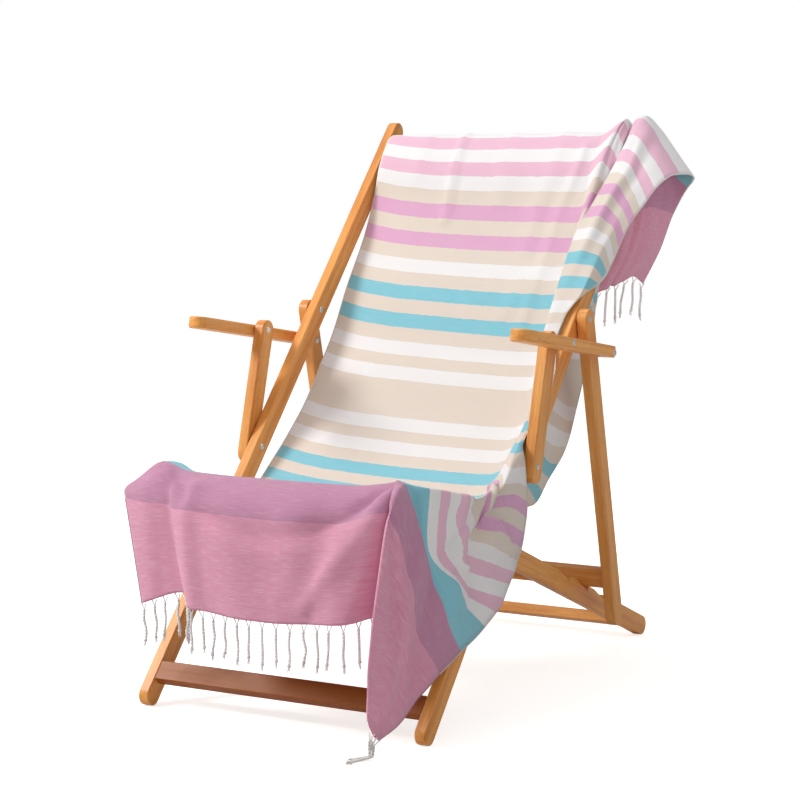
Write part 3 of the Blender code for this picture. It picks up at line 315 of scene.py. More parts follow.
# Square to the back rail, forward and up.
RISE = (-0.7524, 0.6587)
ON_PROFILE = (LEFT_EDGE, LEFT_FOLD, LEFT_PANEL, MIDDLE, RIGHT_PANEL, SHOULDER, CREASE)
IN_PLACE = (LOOP, ROLL, DRAPE_UPPER, DRAPE_LOWER, RIGHT_EDGE)
STEPS_BETWEEN_LINES = (2, 2, 4, 3, 2, 2, 4, 3, 2, 3, 3, 2)
SLING_COLUMNS = slice(3, 14)
# Folds of the cloth, each along a line from (t0, s0) to (t1, s1). A fold stands out where its
# height is positive and sinks in where it is negative, and fades over its width.
FOLDS = in_mm(
    # t0, s0, t1, s1, width, height
    (537, 215, 495, 0, 28, 11), (430, 190, 410, 20, 36, -12), (300, 180, 330, 100, 45, -8),
    (165, 230, 150, 0, 18, 9), (98, 225, 112, 0, 14, -7), (50, 220, 35, 0, 22, 6),
    (235, 150, 260, 0, 40, 6), (720, 520, 860, 345, 20, -9), (665, 480, 800, 310, 20, 11),
    (765, 545, 895, 400, 22, 10), (640, 500, 690, 395, 14, -6), (800, 600, 900, 500, 18, -8),
    (690, 240, 850, 40, 20, 9), (740, 270, 890, 120, 22, -10), (186, 1545, 184, 1340, 9, 5),
    (100, 1550, 92, 1420, 12, 2.2), (300, 1550, 305, 1380, 14, 2.6),
    (395, 1550, 385, 1280, 14, 3.6), (380, 1130, 405, 1230, 9, 3.6),
    (440, 1500, 425, 1100, 12, 3.6), (850, 1520, 880, 1250, 14, -3),
    (600, 1920, 620, 1650, 25, 10), (420, 1920, 430, 1680, 30, -10),
    (180, 1920, 200, 1680, 35, 9),
)
# Smaller folds, in the columns of FOLDS.
CRUMPLES = in_mm(
    # t0, s0, t1, s1, width, height
    (525, 195, 400, 30, 20, 9), (590, 198, 800, 100, 9, -5), (600, 214, 880, 103, 12, 7),
    (600, 498, 790, 478, 12, -6), (790, 470, 818, 400, 12, -4), (610, 455, 760, 440, 15, 10),
    (700, 575, 870, 520, 18, 13), (800, 640, 860, 600, 12, -6), (545, 1530, 540, 1150, 10, -4),
    (690, 1520, 760, 1120, 18, -7), (610, 1520, 670, 1160, 16, 5),
    (820, 1500, 860, 1200, 14, 4.5),
)
# The solid cloth's rows, S.
ROWS = in_mm(
    0, 45, 90, 135, 175, 210, 235, 258, 275, 292, 315, 345, 375,
    405, 435, 465, 495, 525, 552, 578, 602, 628, 655, 685, 720, 760,
    800, 850, 900, 950, 1000, 1050, 1078, 1105, 1160, 1220, 1280, 1340, 1390, 1435,
    1475, 1505, 1528, 1543, 1556, 1570, 1588, 1615, 1650, 1700, 1755, 1810, 1865, 1920,
)

# The flap's sag between the seat's corners: T of its ends, S at its middle and ends, width, depth.
SAG = (0.115, 0.525, 0.158, 0.240, 0.019, 0.0130)
# Small swellings all over the cloth, and how much of them shows.
SWELLS = (
    # height, per t, per s, phase
    (0.0010, 9.0, 3.0, 0.6),
    (0.0007, 23.0, -5.0, 1.9),
    (0.0005, 7.0, 14.0, 0.0),
)
SWELL_SHARE = 0.6
# How far the cloth has slid down the seat and the back where it lies flat, S and distance.
SLIDE = in_mm(
    (450, 0), (600, 15), (735, 35), (800, 37), (885, 33), (1000, 29), (1120, 25), (1220, 21),
    (1280, 18), (1380, 11), (1560, 10), (1700, 0),
)
# T where that slide begins to end and where it has ended.
SLIDE_ENDS = (0.475, 0.530)
# How much less the left edge has slid, T and distance, and over which S that begins.
LIFTED = in_mm((0, 16), (30, 11), (70, 5), (130, 0))
LIFTED_FROM = (0.50, 0.70)
# How far the cloth that hangs behind the right rail has slid down, S and distance, and
# over which T.
LOOP_SLIDE = in_mm(
    (690, 0), (760, 30), (830, 60), (900, 75), (1080, 75), (1300, 0),
)
LOOP_ENDS = (0.56, 0.63, 0.68, 0.79)
# Where the gathers pull the stripes: T and S of the pull, its size both ways and how far.
PULLS = in_mm(
    # t, s, wide, long, shift
    (630, 455, 20, 45, 14), (675, 450, 20, 40, -5), (715, 440, 22, 40, 9),
    (712, 360, 20, 30, 6), (860, 280, 80, 40, 13),
)


# ---- the towel's lines
def smooth(knots, values, at):
    """Smooth curve through the rows of a table that never overshoots a row."""
    step = np.diff(knots)
    slope = np.diff(values, axis=0) / step[:, None]
    if at < knots[0]:
        return values[0] + (at - knots[0]) * slope[0]
    if at > knots[-1]:
        return values[-1] + (at - knots[-1]) * slope[-1]
    tangent = np.zeros_like(values)
    tangent[0] = slope[0]
    tangent[-1] = slope[-1]
    before, after = slope[:-1], slope[1:]
    same = before * after > 0
    w1 = (2 * step[1:] + step[:-1])[:, None]
    w2 = (step[1:] + 2 * step[:-1])[:, None]
    safe_before = np.where(same, before, 1.0)
    safe_after = np.where(same, after, 1.0)
    tangent[1:-1] = np.where(same, (w1 + w2) / (w1 / safe_before + w2 / safe_after), 0.0)
    i = int(np.clip(np.searchsorted(knots, at) - 1, 0, len(step) - 1))
    u = (at - knots[i]) / step[i]
    h00 = (1 + 2 * u) * (1 - u) ** 2
    h10 = u * (1 - u) ** 2
    h01 = u * u * (3 - 2 * u)
    h11 = u * u * (u - 1)
    return (
        h00 * values[i]
        + h10 * step[i] * tangent[i]
        + h01 * values[i + 1]
        + h11 * step[i] * tangent[i + 1]
    )


def row_at(table, s):
    """What a table says where the cloth is s along."""
    return smooth(table[:, 0], table[:, 1:], s)


def lines_at(s):
    """The towel's lines where it is s along: rows of (t, x, y, z)."""
    y, z = row_at(PROFILE, s)
    found = []
    for table in ON_PROFILE:
        t, x, dy, dz = row_at(table, s)
        found.append((t, x, y + dy, z + dz))
    for table in IN_PLACE:
        found.append(tuple(row_at(table, s)))
    t, x, away = row_at(WALL, s)
    loop, roll = found[len(ON_PROFILE)], found[len(ON_PROFILE) + 1]
    if WALL_RUN[0] <= s <= WALL_RUN[1]:
        y = roll[2] - away * RISE[0]
        z = roll[3] - away * RISE[1]
    else:
        share = (t - loop[0]) / (roll[0] - loop[0])
        y = loop[2] + share * (roll[2] - loop[2])
        z = loop[3] + share * (roll[3] - loop[3])
    found.insert(len(ON_PROFILE) + 1, (t, x, y, z))
    return np.array(found)


def towel_grid(stations, steps_between_lines):
    """T and the points across the towel at each station, spaced evenly between its lines."""
    found = []
    for s in stations:
        across = lines_at(s)
        number = np.arange(len(across), dtype=float)
        row = []
        for line, steps in enumerate(steps_between_lines):
            for k in range(steps):
                row.append(smooth(number, across, line + k / steps))
        row.append(across[-1])
        found.append(row)
    found = np.array(found)
    return found[:, :, 0], found[:, :, 1:]


def grid_normals(rows):
    """Unit normals of a grid, toward the side of the towel that faces out."""
    normal = np.cross(np.gradient(rows, axis=1), np.gradient(rows, axis=0))
    return normal / np.linalg.norm(normal, axis=2, keepdims=True)


def everywhere(stations, across):
    """S at every point of a grid."""
    return np.repeat(stations[:, None], across.shape[1], axis=1)


def fold_heights(stations, across, folds):
    """How far a table's folds move the cloth, square to it."""
    s = everywhere(stations, across)
    total = np.zeros_like(s)
    for t0, s0, t1, s1, width, height in folds:
        run = np.array([t1 - t0, s1 - s0])
        share = ((across - t0) * run[0] + (s - s0) * run[1]) / run.dot(run)
        share = np.clip(share, 0.0, 1.0)
        away = np.hypot(across - t0 - share * run[0], s - s0 - share * run[1])
        total += height * np.exp(-((away / width) ** 2))
    return total


def folded_grid(stations, steps_between_lines):
    """The towel's grid with its folds."""
    across, rows = towel_grid(stations, steps_between_lines)
    heights = fold_heights(stations, across, FOLDS)
    return across, rows + heights[:, :, None] * grid_normals(rows)


# ---- colours
def srgb(r, g, b):
    """Display colour to the renderer's linear colour."""
    linear = [c / 12.92 if c <= 0.04045 else ((c + 0.055) / 1.055) ** 2.4 for c in (r, g, b)]
    return (*linear, 1.0)


def grey(value):
    return (value, value, value, 1.0)


PINK_END = srgb(0.86, 0.59, 0.69)
LILAC_END = srgb(0.76, 0.53, 0.65)
TURQUOISE = srgb(0.52, 0.79, 0.85)
PINK = srgb(0.92, 0.74, 0.82)
LILAC = srgb(0.88, 0.67, 0.80)
BEIGE = srgb(0.89, 0.84, 0.79)
WHITE = srgb(0.94, 0.93, 0.93)
# painted shade: a darker rose where the rolled selvedge turns under, along the pink ends
ROSE_PAINTED_SHADE = srgb(0.62, 0.37, 0.46)
PALE_EDGE = srgb(0.95, 0.93, 0.90)
HEM_LINE = srgb(0.84, 0.48, 0.62)
SLUB_LIGHT = srgb(0.97, 0.86, 0.90)
SLUB_DARK = srgb(0.90, 0.62, 0.75)

# Half of the towel's stripes: where each starts from the hem, its colour and how slubby it is.
STRIPES = (
    # from,  colour,     slub
    (0.000, PINK_END, 1.00),
    (0.190, LILAC_END, 0.60),
    (0.280, TURQUOISE, 0.45),
    (0.350, WHITE, 0.10),
    (0.380, PINK, 0.25),
    (0.410, WHITE, 0.10),
    (0.440, PINK, 0.25),
    (0.470, WHITE, 0.10),
    (0.500, BEIGE, 0.15),
    (0.530, LILAC, 0.25),
    (0.560, BEIGE, 0.15),
    (0.590, LILAC, 0.25),
    (0.620, BEIGE, 0.15),
    (0.650, WHITE, 0.10),
    (0.680, BEIGE, 0.15),
    (0.710, TURQUOISE, 0.30),
    (0.740, BEIGE, 0.15),
    (0.770, TURQUOISE, 0.30),
    (0.800, BEIGE, 0.15),
    (0.830, WHITE, 0.10),
    (0.860, BEIGE, 0.15),
    (0.888, WHITE, 0.10),
    (0.916, BEIGE, 0.15),
)
# The wood's tones through its figure.
WOOD_TONES = (
    # figure, red, green, blue
    (0.25, 0.78, 0.46, 0.18),
    (0.45, 0.91, 0.61, 0.30),
    (0.60, 0.95, 0.68, 0.37),
    (0.80, 0.85, 0.54, 0.24),
)
WOOD_FINE = srgb(0.62, 0.37, 0.16)
WOOD_FLECK = srgb(0.52, 0.30, 0.13)
WOOD_SCALES = (2.2, 22.0, 60.0)
FINE_SCALES = (16.0, 420.0, 420.0)
FLECK_SCALES = (90.0, 700.0, 260.0)
ARM_TONE = (1.04, 1.06, 1.10)
# The foot rung's wood: partly a darker piece of beech, partly painted shade where the flap hangs
# over it.
FOOT_RUNG_TONE_AND_SHADE = (0.66, 0.50, 0.21)


# ---- materials
class Nodes:
    """Short way to build the node tree of a material, or of the world."""

    def __init__(self, name, kind="materials", shader="BsdfPrincipled", out="OutputMaterial"):
        self.owner = getattr(bpy.data, kind).new(name)
        self.owner.use_nodes = True
        self.tree = self.owner.node_tree
        self.tree.nodes.clear()
        self.shader = self.tree.nodes.new("ShaderNode" + shader)
        end = self.tree.nodes.new("ShaderNode" + out)
        self.put(end.inputs["Surface"], self.shader.outputs[0])

    def put(self, socket, value):
        if isinstance(value, bpy.types.NodeSocket):
            self.tree.links.new(value, socket)
        else:
            socket.default_value = value

    def add(self, kind, inputs, output=0, **settings):
        """A node with its settings and inputs; gives one of its outputs."""
        node = self.tree.nodes.new("ShaderNode" + kind)
        for name, value in settings.items():
            setattr(node, name, value)
        for key, value in inputs.items():
            self.put(node.inputs[key], value)
        return node.outputs[output]

    def math(self, operation, a, b=0.0, clamp=False):
        return self.add("Math", {0: a, 1: b}, operation=operation, use_clamp=clamp)

    def times(self, a, b):
        return self.math("MULTIPLY", a, b)

    def scaled(self, *pairs):
        """A vector of up to three values, each times its own scale."""
        parts = [self.times(value, scale) for value, scale in pairs]
        return self.add("CombineXYZ", dict(enumerate(parts)))

    def noise(self, vector, scale=1.0, detail=2.0, rough=0.5):
        inputs = {"Vector": vector, "Scale": scale, "Detail": detail, "Roughness": rough}
        return self.add("TexNoise", inputs, "Fac")

    def remap(self, value, a, b, c, d):
        return self.add("MapRange", dict(enumerate((value, a, b, c, d))))

    def mix(self, factor, a, b, blend="MIX"):
        return self.add("Mix", {0: factor, 6: a, 7: b}, 2, data_type="RGBA", blend_type=blend)

    def ramp(self, value, stops, constant=False):
        colours = self.add("ValToRGB", {0: value})
        ramp = colours.node.color_ramp
        ramp.interpolation = "CONSTANT" if constant else "LINEAR"
        while len(ramp.elements) < len(stops):
            ramp.elements.new(0.5)
        for point, (position, colour) in zip(ramp.elements, stops):
            point.position = position
        for point, (position, colour) in zip(ramp.elements, stops):
            point.color = colour
        return colours

    def bump(self, height, distance, strength=1.0, **normal):
        inputs = {"Height": height, "Distance": distance, "Strength": strength}
        return self.add("Bump", {**inputs, **normal})

    def uv(self):
        place = self.add("UVMap", {}, uv_map="cloth")
        split = self.add("SeparateXYZ", {0: place}).node
        return split.outputs[0], split.outputs[1]

    def place(self):
        return self.add("TexCoord", {}, "Object")

    def along(self, vector, direction):
        inputs = {0: vector, 1: tuple(direction)}
        return self.add("VectorMath", inputs, "Value", operation="DOT_PRODUCT")

    def set(self, **values):
        """Fills the shader's own sockets and gives the material or world."""
        for name, value in values.items():
            self.put(self.shader.inputs[name.replace("_", " ")], value)
        return self.owner


def weave(nodes, t, s, pitch, depth, **normal):
    """Plain weave: threads both ways, a little uneven."""
    wobble = nodes.noise(nodes.scaled((t, 40.0), (s, 40.0)))
    turn = 2 * math.pi / pitch
    warp = nodes.math("SINE", nodes.times(t, turn))
    weft = nodes.math("SINE", nodes.times(s, turn))
    uneven = nodes.remap(wobble, 0.2, 0.8, 0.5, 1.0)
    return nodes.bump(nodes.times(nodes.times(warp, weft), uneven), depth, 0.6, **normal)


def towel_material():
    nodes = Nodes("towel_weave")
    t, s = nodes.uv()
    middle = LENGTH / 2
    half = nodes.math("MINIMUM", s, nodes.math("SUBTRACT", LENGTH, s))
    edge = nodes.noise(nodes.scaled((t, 90.0), (s, 8.0)), detail=1.0)
    half = nodes.math("ADD", half, nodes.remap(edge, 0.3, 0.7, -0.0006, 0.0006))
    share = nodes.math("DIVIDE", half, middle, clamp=True)
    base = nodes.ramp(share, [(at / middle, colour) for at, colour, slub in STRIPES], True)
    slub = nodes.ramp(share, [(at / middle, grey(slub)) for at, colour, slub in STRIPES], True)
    # slubs: thick threads along the weft, fine pale ones and broad deeper ones
    streak = nodes.noise(nodes.scaled((t, 34.0), (s, 880.0)), detail=3.0, rough=0.6)
    broad = nodes.noise(nodes.scaled((t, 11.0), (s, 170.0)))
    light = nodes.times(nodes.remap(streak, 0.50, 0.78, 0.0, 1.0), slub)
    dark = nodes.times(nodes.remap(broad, 0.52, 0.80, 0.0, 0.8), slub)
    colour = nodes.mix(nodes.times(light, 0.62), base, SLUB_LIGHT)
    deeper = nodes.mix(1.0, colour, SLUB_DARK, "MULTIPLY")
    colour = nodes.mix(nodes.times(dark, 0.26), colour, deeper)
    # the turned hem's deeper line, and the selvedges: a pale line, and along the pink ends painted
    # shade in rose where the rolled selvedge turns under
    hem = nodes.remap(half, 0.0012, 0.0032, 0.6, 0.0)
    colour = nodes.mix(hem, colour, HEM_LINE)
    near = nodes.math("MINIMUM", t, nodes.math("SUBTRACT", WIDTH, t))
    selvedge = nodes.remap(near, 0.0018, 0.0034, 0.8, 0.0)
    edges = nodes.ramp(share, ((0.0, ROSE_PAINTED_SHADE), (STRIPES[1][0] / middle, PALE_EDGE)), True)
    slubs = nodes.bump(streak, 0.0005, 0.35)
    return nodes.set(
        Base_Color=nodes.mix(selvedge, colour, edges),
        Roughness=nodes.remap(streak, 0.3, 0.7, 0.80, 0.95),
        Normal=weave(nodes, t, s, THREAD_PITCH, THREAD_DEPTH, Normal=slubs),
        Sheen_Weight=0.25,
        Sheen_Roughness=0.5,
        Specular_IOR_Level=0.18,
    )


def mottled(nodes, pattern, low, high, a, b):
    """One colour turning into another where a pattern rises from low to high."""
    return nodes.mix(nodes.remap(pattern, low, high, 0.0, 1.0), srgb(*a), srgb(*b))


def canvas_material():
    nodes = Nodes("seat_canvas")
    t, s = nodes.uv()
    mottle = nodes.noise(nodes.scaled((t, 60.0), (s, 300.0)), detail=3.0)
    return nodes.set(
        Base_Color=mottled(nodes, mottle, 0.35, 0.7, (0.88, 0.84, 0.76), (0.80, 0.75, 0.66)),
        Roughness=0.9,
        Normal=weave(nodes, t, s, 0.0018, 0.0005),
        Specular_IOR_Level=0.2,
    )


def cord_material():
    nodes = Nodes("fringe_cord")
    place = nodes.place()
    fibre = nodes.noise(place, 900.0, 3.0, 0.6)
    tone = nodes.noise(place, 45.0, 1.0)
    return nodes.set(
        Base_Color=mottled(nodes, tone, 0.35, 0.65, (0.98, 0.97, 0.97), (0.93, 0.91, 0.90)),
        Roughness=0.9,
        Normal=nodes.bump(fibre, 0.0004, 0.6),
        Sheen_Weight=0.3,
        Specular_IOR_Level=0.15,
    )


def wood_material(name, grain, across, tone=(1.0, 1.0, 1.0), coat=0.12):
    """Oiled honey-coloured beech with its grain along one direction."""
    grain = unit(np.asarray(grain, float))
    across = np.asarray(across, float)
    nodes = Nodes(name)
    place = nodes.place()
    axes = [nodes.along(place, axis) for axis in (grain, across, np.cross(grain, across))]
    figure = nodes.noise(nodes.scaled(*zip(axes, WOOD_SCALES)), detail=3.0, rough=0.55)
    fine = nodes.noise(nodes.scaled(*zip(axes, FINE_SCALES)), detail=3.0, rough=0.6)
    fleck = nodes.noise(nodes.scaled(*zip(axes, FLECK_SCALES)), detail=1.0)
    stops = [(at, srgb(*(c * k for c, k in zip(rgb, tone)))) for at, *rgb in WOOD_TONES]
    colour = nodes.ramp(figure, stops)
    colour = nodes.mix(nodes.remap(fine, 0.45, 0.75, 0.0, 0.35), colour, WOOD_FINE)
    colour = nodes.mix(nodes.remap(fleck, 0.66, 0.78, 0.0, 0.30), colour, WOOD_FLECK)
    height = nodes.math("ADD", nodes.times(fine, 0.6), nodes.times(fleck, 0.4))
    return nodes.set(
        Base_Color=colour,
        Roughness=nodes.remap(figure, 0.3, 0.7, 0.36, 0.50),
        Normal=nodes.bump(height, 0.0005, 0.35),
        Coat_Weight=coat,
        Coat_Roughness=0.35,
        Specular_IOR_Level=0.35,
    )


def steel_material():
    nodes = Nodes("bolt_steel")
    wear = nodes.noise(nodes.place(), 260.0, 3.0, 0.6)
    return nodes.set(
        Base_Color=mottled(nodes, wear, 0.35, 0.7, (0.95, 0.94, 0.93), (0.78, 0.77, 0.76)),
        Roughness=nodes.remap(wear, 0.3, 0.7, 0.22, 0.42),
        Metallic=1.0,
    )


def floor_material():
    """Matt white floor that shows a little overexposed, as in a light tent."""
    nodes = Nodes("studio_floor")
    seen = nodes.add("LightPath", {}, "Is Camera Ray")
    return nodes.set(
        Base_Color=srgb(0.91, 0.905, 0.90),
        Roughness=0.9,
        Emission_Color=(1.0, 0.99, 0.98, 1.0),
        Emission_Strength=nodes.times(seen, FLOOR_LIFT),
    )


# ---- pieces
def unit(vector):
    return vector / np.linalg.norm(vector)


def new_object(name, data):
    obj = bpy.data.objects.new(name, data)
    bpy.context.scene.collection.objects.link(obj)
    return obj


def dressed(obj, material, nodes):
    """Gives a piece its material, hangs it on the root body and hides the solid's parts that it
    stands for.
    """
    obj.data.materials.append(material)
    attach(obj, "root")
    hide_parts(*nodes)
    return obj


def add_mesh(name, points, faces, material, slot, nodes):
    mesh = bpy.data.meshes.new(name)
    moved = [tuple(np.asarray(p, float) + SHIFT) for p in points]
    mesh.from_pydata(moved, [], [tuple(f) for f in faces])
    tidy = bmesh.new()
    tidy.from_mesh(mesh)
    bmesh.ops.recalc_face_normals(tidy, faces=tidy.faces)
    tidy.to_mesh(mesh)
    tidy.free()
    mesh.shade_smooth()
    return dressed(new_object(name, mesh), material, nodes)


def add_timber(name, points, faces, material, node, eased=EASED):
    """A piece of timber: its long edges eased, and shaded sharp where its faces meet."""
    obj = add_mesh(name, points, faces, material, "beech", (node,))
    edge = obj.modifiers.new("edges", "BEVEL")
    edge.width = eased
    edge.segments = 3
    edge.limit_method = "ANGLE"
    edge.angle_limit = BEVEL_FROM
    edge.harden_normals = False
    tidy = bmesh.new()
    tidy.from_mesh(obj.data)
    for edge in tidy.edges:
        if len(edge.link_faces) == 2 and edge.calc_face_angle(0.0) > SHARP_FROM:
            edge.smooth = False
    tidy.to_mesh(obj.data)
    tidy.free()


def sides_between(n):
    """The side faces between two rings of n points."""
    return [[i, (i + 1) % n, n + (i + 1) % n, n + i] for i in range(n)]


def prism(name, outline, x0, x1, material, node):
    """A (y, z) outline pushed from x0 to x1."""
    n = len(outline)
    points = [(x, y, z) for x in (x0, x1) for y, z in outline]
    caps = [list(range(n))[::-1], list(range(n, 2 * n))]
    add_timber(name, points, caps + sides_between(n), material, node)


def both_sides(inner, thickness):
    return (("l", -inner - thickness, -inner), ("r", inner, inner + thickness))


def pair(name, outline, inner, material, node):
    """A rail on the left and the same on the right, by the start of their names."""
    for side, x0, x1 in both_sides(inner, THICK):
        prism(name + side, outline, x0, x1, material, node + side)


def end_arc(centre, toward):
    """Half circle round a rail's end."""
    points = []
    for k in range(ARC_STEPS + 1):
        angle = toward - math.pi / 2 + math.pi * k / ARC_STEPS
        points.append((centre[0] + ROUND * math.cos(angle), centre[1] + ROUND * math.sin(angle)))
    return points


def flat_foot(points, floor=0.0005):
    """A small flat where a round end stands on the floor."""
    return [(y, 0.0 if z < floor else z) for y, z in points]


def heading(a, b):
    return math.atan2(b[1] - a[1], b[0] - a[0])


def rail_outline(a, b):
    toward = heading(a, b)
    return end_arc(b, toward) + end_arc(a, toward + math.pi)


def along(start_at, angle, distance, front=0.0):
    """A point measured along a rail and square to it."""
    y = start_at[0] + distance * math.cos(angle) - front * math.sin(angle)
    z = start_at[1] + distance * math.sin(angle) + front * math.cos(angle)
    return (y, z)


def box_outline(start_at, angle, d0, d1, n0, n1):
    corners = ((d0, n0), (d1, n0), (d1, n1), (d0, n1))
    return [along(start_at, angle, d, n) for d, n in corners]


def rung(name, start_at, angle, size, inner, material, node):
    """A rail from one side to the other, placed along the side rails."""
    outline = box_outline(start_at, angle, *size)
    prism(name, outline, GAP - inner, inner - GAP, material, node)


def sloped_wood(name, angle, *finish):
    """Wood whose grain rises at an angle in the chair's side view."""
    return wood_material(name, (0.0, math.cos(angle), math.sin(angle)), ACROSS, *finish)


def build_chair():
    angle = heading(REAR_FOOT, B_FRONT)
    lean = heading(PROP_FOOT, PROP_TOP)
    tilt = heading(STRUT_FOOT, STRUT_TOP)
    back = sloped_wood("beech_back", A_ANGLE)
    seat = sloped_wood("beech_seat", angle)
    prop = sloped_wood("beech_prop", lean)
    strut = sloped_wood("beech_strut", tilt)
    arm = sloped_wood("beech_arm", ARM_SLOPE, ARM_TONE)
    # the foot rung's wood is darker beech, with painted shade from the flap over it
    low = wood_material("beech_rung_painted_shade", ACROSS, BACKWARD, FOOT_RUNG_TONE_AND_SHADE, 0.04)
    level = wood_material("beech_level", ACROSS, BACKWARD)

    tip = along(FRONT_FOOT, A_ANGLE, A_LENGTH)
    pair("timber_back_", flat_foot(rail_outline(FRONT_FOOT, tip)), A_INNER, back, "back_rail_")
    frame_a = (FRONT_FOOT, A_ANGLE)
    rung("timber_foot_rung", *frame_a, FOOT_RUNG, A_INNER, low, "back_foot_rail")
    rung("timber_top_rung", *frame_a, TOP_RUNG, A_INNER, level, "back_top_rail")

    teeth = []
    for wall in NOTCH_WALLS:
        d = (REAR_FOOT[0] + ROUND * math.sin(angle) - wall) / math.cos(math.pi - angle)
        teeth.append(along(REAR_FOOT, angle, d + NOTCH_RUN, -ROUND))
        teeth.append(along(REAR_FOOT, angle, d, -ROUND + NOTCH_DEPTH))
        teeth.append(along(REAR_FOOT, angle, d, -ROUND))
    front = end_arc(B_FRONT, angle)
    rear = end_arc(REAR_FOOT, angle + math.pi)
    pair("timber_seat_", flat_foot(teeth + rear[::-1] + front[::-1]), B_INNER, seat, "seat_rail_")
    length = math.dist(B_FRONT, REAR_FOOT)
    lip = (length + LIP_RUNG[0], length + LIP_RUNG[1], *LIP_RUNG[2:])
    frame_b = (REAR_FOOT, angle)
    rung("timber_rear_rung", *frame_b, REAR_RUNG, B_INNER, level, "seat_rear_rail")
    rung("timber_front_rung", *frame_b, lip, B_INNER, level, "seat_front_rail")

    pair("timber_prop_", rail_outline(PROP_TOP, PROP_FOOT), PROP_INNER, prop, "prop_leg_")
    board = (0.0, BOARD_HEIGHT, -THICK, 0.0)
    rung("timber_prop_board", BOARD_FOOT, lean, board, PROP_INNER, level, "prop_board")
    foot = along(STRUT_FOOT, tilt, -STRUT_PAST)
    pair("timber_strut_", rail_outline(foot, STRUT_TOP), PROP_INNER, strut, "strut_")
    for side, x0, x1 in both_sides(ARM_INNER, ARM_WIDTH):
        build_arm("timber_arm_" + side, x0, x1, arm, "arm_" + side)


def build_arm(name, x0, x1, material, node):
    """Armrest: half round at the front, its edges well eased."""
    radius = ARM_WIDTH / 2
    run = (math.cos(ARM_SLOPE), math.sin(ARM_SLOPE))
    down = (math.sin(ARM_SLOPE) * ARM_THICK, -math.cos(ARM_SLOPE) * ARM_THICK)
    middle = (x0 + x1) / 2
    plan = [(x1, ARM_LENGTH), (x0, ARM_LENGTH)]
    for k in range(ARC_STEPS + 1):
        angle = math.pi + math.pi * k / ARC_STEPS
        plan.append((middle + radius * math.cos(angle), radius + radius * math.sin(angle)))
    n = len(plan)
    points = []
    for sunk in (0, 1):
        for x, d in plan:
            y = ARM_TIP[0] + d * run[0] + sunk * down[0]
            z = ARM_TIP[1] + d * run[1] + sunk * down[1]
            points.append((x, y, z))
    caps = [list(range(n)), list(range(n, 2 * n))[::-1]]
    add_timber(name, points, caps + sides_between(n), material, node, ARM_EASED)


def sheet_mesh(name, rows, across, woven, material, thickness, node):
    """A thickened sheet from a grid of points, with its T and S kept as a UV map."""
    down, wide = rows.shape[:2]
    faces = []
    for i in range(down - 1):
        for j in range(wide - 1):
            a = i * wide + j
            faces.append((a, a + 1, a + wide + 1, a + wide))
    mesh = bpy.data.meshes.new(name)
    mesh.from_pydata([tuple(p) for p in (rows + SHIFT).reshape(-1, 3)], [], faces)
    uv = mesh.uv_layers.new(name="cloth")
    t = across.reshape(-1)
    s = woven.reshape(-1)
    for loop in mesh.loops:
        uv.data[loop.index].uv = (t[loop.vertex_index], s[loop.vertex_index])
    mesh.shade_smooth()
    obj = new_object(name, mesh)
    thick = obj.modifiers.new("thickness", "SOLIDIFY")
    thick.thickness = thickness
    thick.offset = 0.0
    thick.use_even_offset = False
    return dressed(obj, material, (node,))


def build_towel():
    stations = np.linspace(0.0, LENGTH, FINE_ROWS)
    across, rows = folded_grid(stations, FINE_STEPS)
    small = wrinkles(stations, across) + crumples(stations, across)
    rows += small[:, :, None] * grid_normals(rows)
    slid = np.interp(stations, *zip(*SLIDE))
    woven = stations[:, None] + slid[:, None] * np.interp(across, SLIDE_ENDS, (1.0, 0.0))
    woven = woven + pulled(stations, across)
    on_chair = np.interp(stations, LIFTED_FROM, (0.0, 1.0))
    woven -= on_chair[:, None] * np.interp(across, *zip(*LIFTED))
    sunk = np.interp(stations, *zip(*LOOP_SLIDE))
    woven -= sunk[:, None] * np.interp(across, LOOP_ENDS, (0.0, 1.0, 1.0, 0.0))
    cloth = towel_material()
    return sheet_mesh("towel_cloth", rows, across, woven, cloth, CLOTH_SEEN, "towel")


def pulled(stations, across):
    """How far the gathers pull the stripes along the cloth."""
    s = everywhere(stations, across)
    total = np.zeros_like(s)
    for t0, s0, wide, long, shift in PULLS:
        total += shift * np.exp(-(((across - t0) / wide) ** 2) - ((s - s0) / long) ** 2)
    return total


def crumples(stations, across):
    """The smaller folds, and the flap's sag between the seat's corners."""
    s = everywhere(stations, across)
    total = fold_heights(stations, across, CRUMPLES)
    t0, t1, low, high, width, deep = SAG
    run = (across - 0.5 * (t0 + t1)) / (0.5 * (t1 - t0))
    away = (s - low - (high - low) * run ** 2) / width
    ends = np.clip((1.12 - np.abs(run)) / 0.24, 0.0, 1.0)
    return total - deep * (0.55 + 0.45 * run ** 2) * ends * np.exp(-(away ** 2))


def wrinkles(stations, across):
    """Small swellings of the cloth, square to it."""
    s = everywhere(stations, across)
    total = np.zeros_like(s)
    for height, per_t, per_s, phase in SWELLS:
        total += height * np.sin(per_t * across + per_s * s + phase)
    return total * SWELL_SHARE


def build_sling():
    stations = np.linspace(*SLING_RUN, SLING_ROWS)
    rows = towel_grid(stations, STEPS_BETWEEN_LINES)[1][:, SLING_COLUMNS]
    wide = rows.shape[1]
    under = np.full(wide, SLING_UNDER)
    under[:len(SLING_EDGE_DROP)] += SLING_EDGE_DROP
    rows = rows - under[None, :, None] * grid_normals(rows)
    across = np.repeat(np.linspace(0, SLING_ACROSS, wide)[None, :], len(stations), axis=0)
    woven = everywhere(stations, across)
    canvas = canvas_material()
    return sheet_mesh("sling_cloth", rows, across, woven, canvas, SLING_CLOTH, "sling")


# ---- fringe
def square_to(direction, helper):
    """Two unit vectors square to a direction and to each other."""
    a = unit(np.cross(direction, helper))
    return a, np.cross(direction, a)


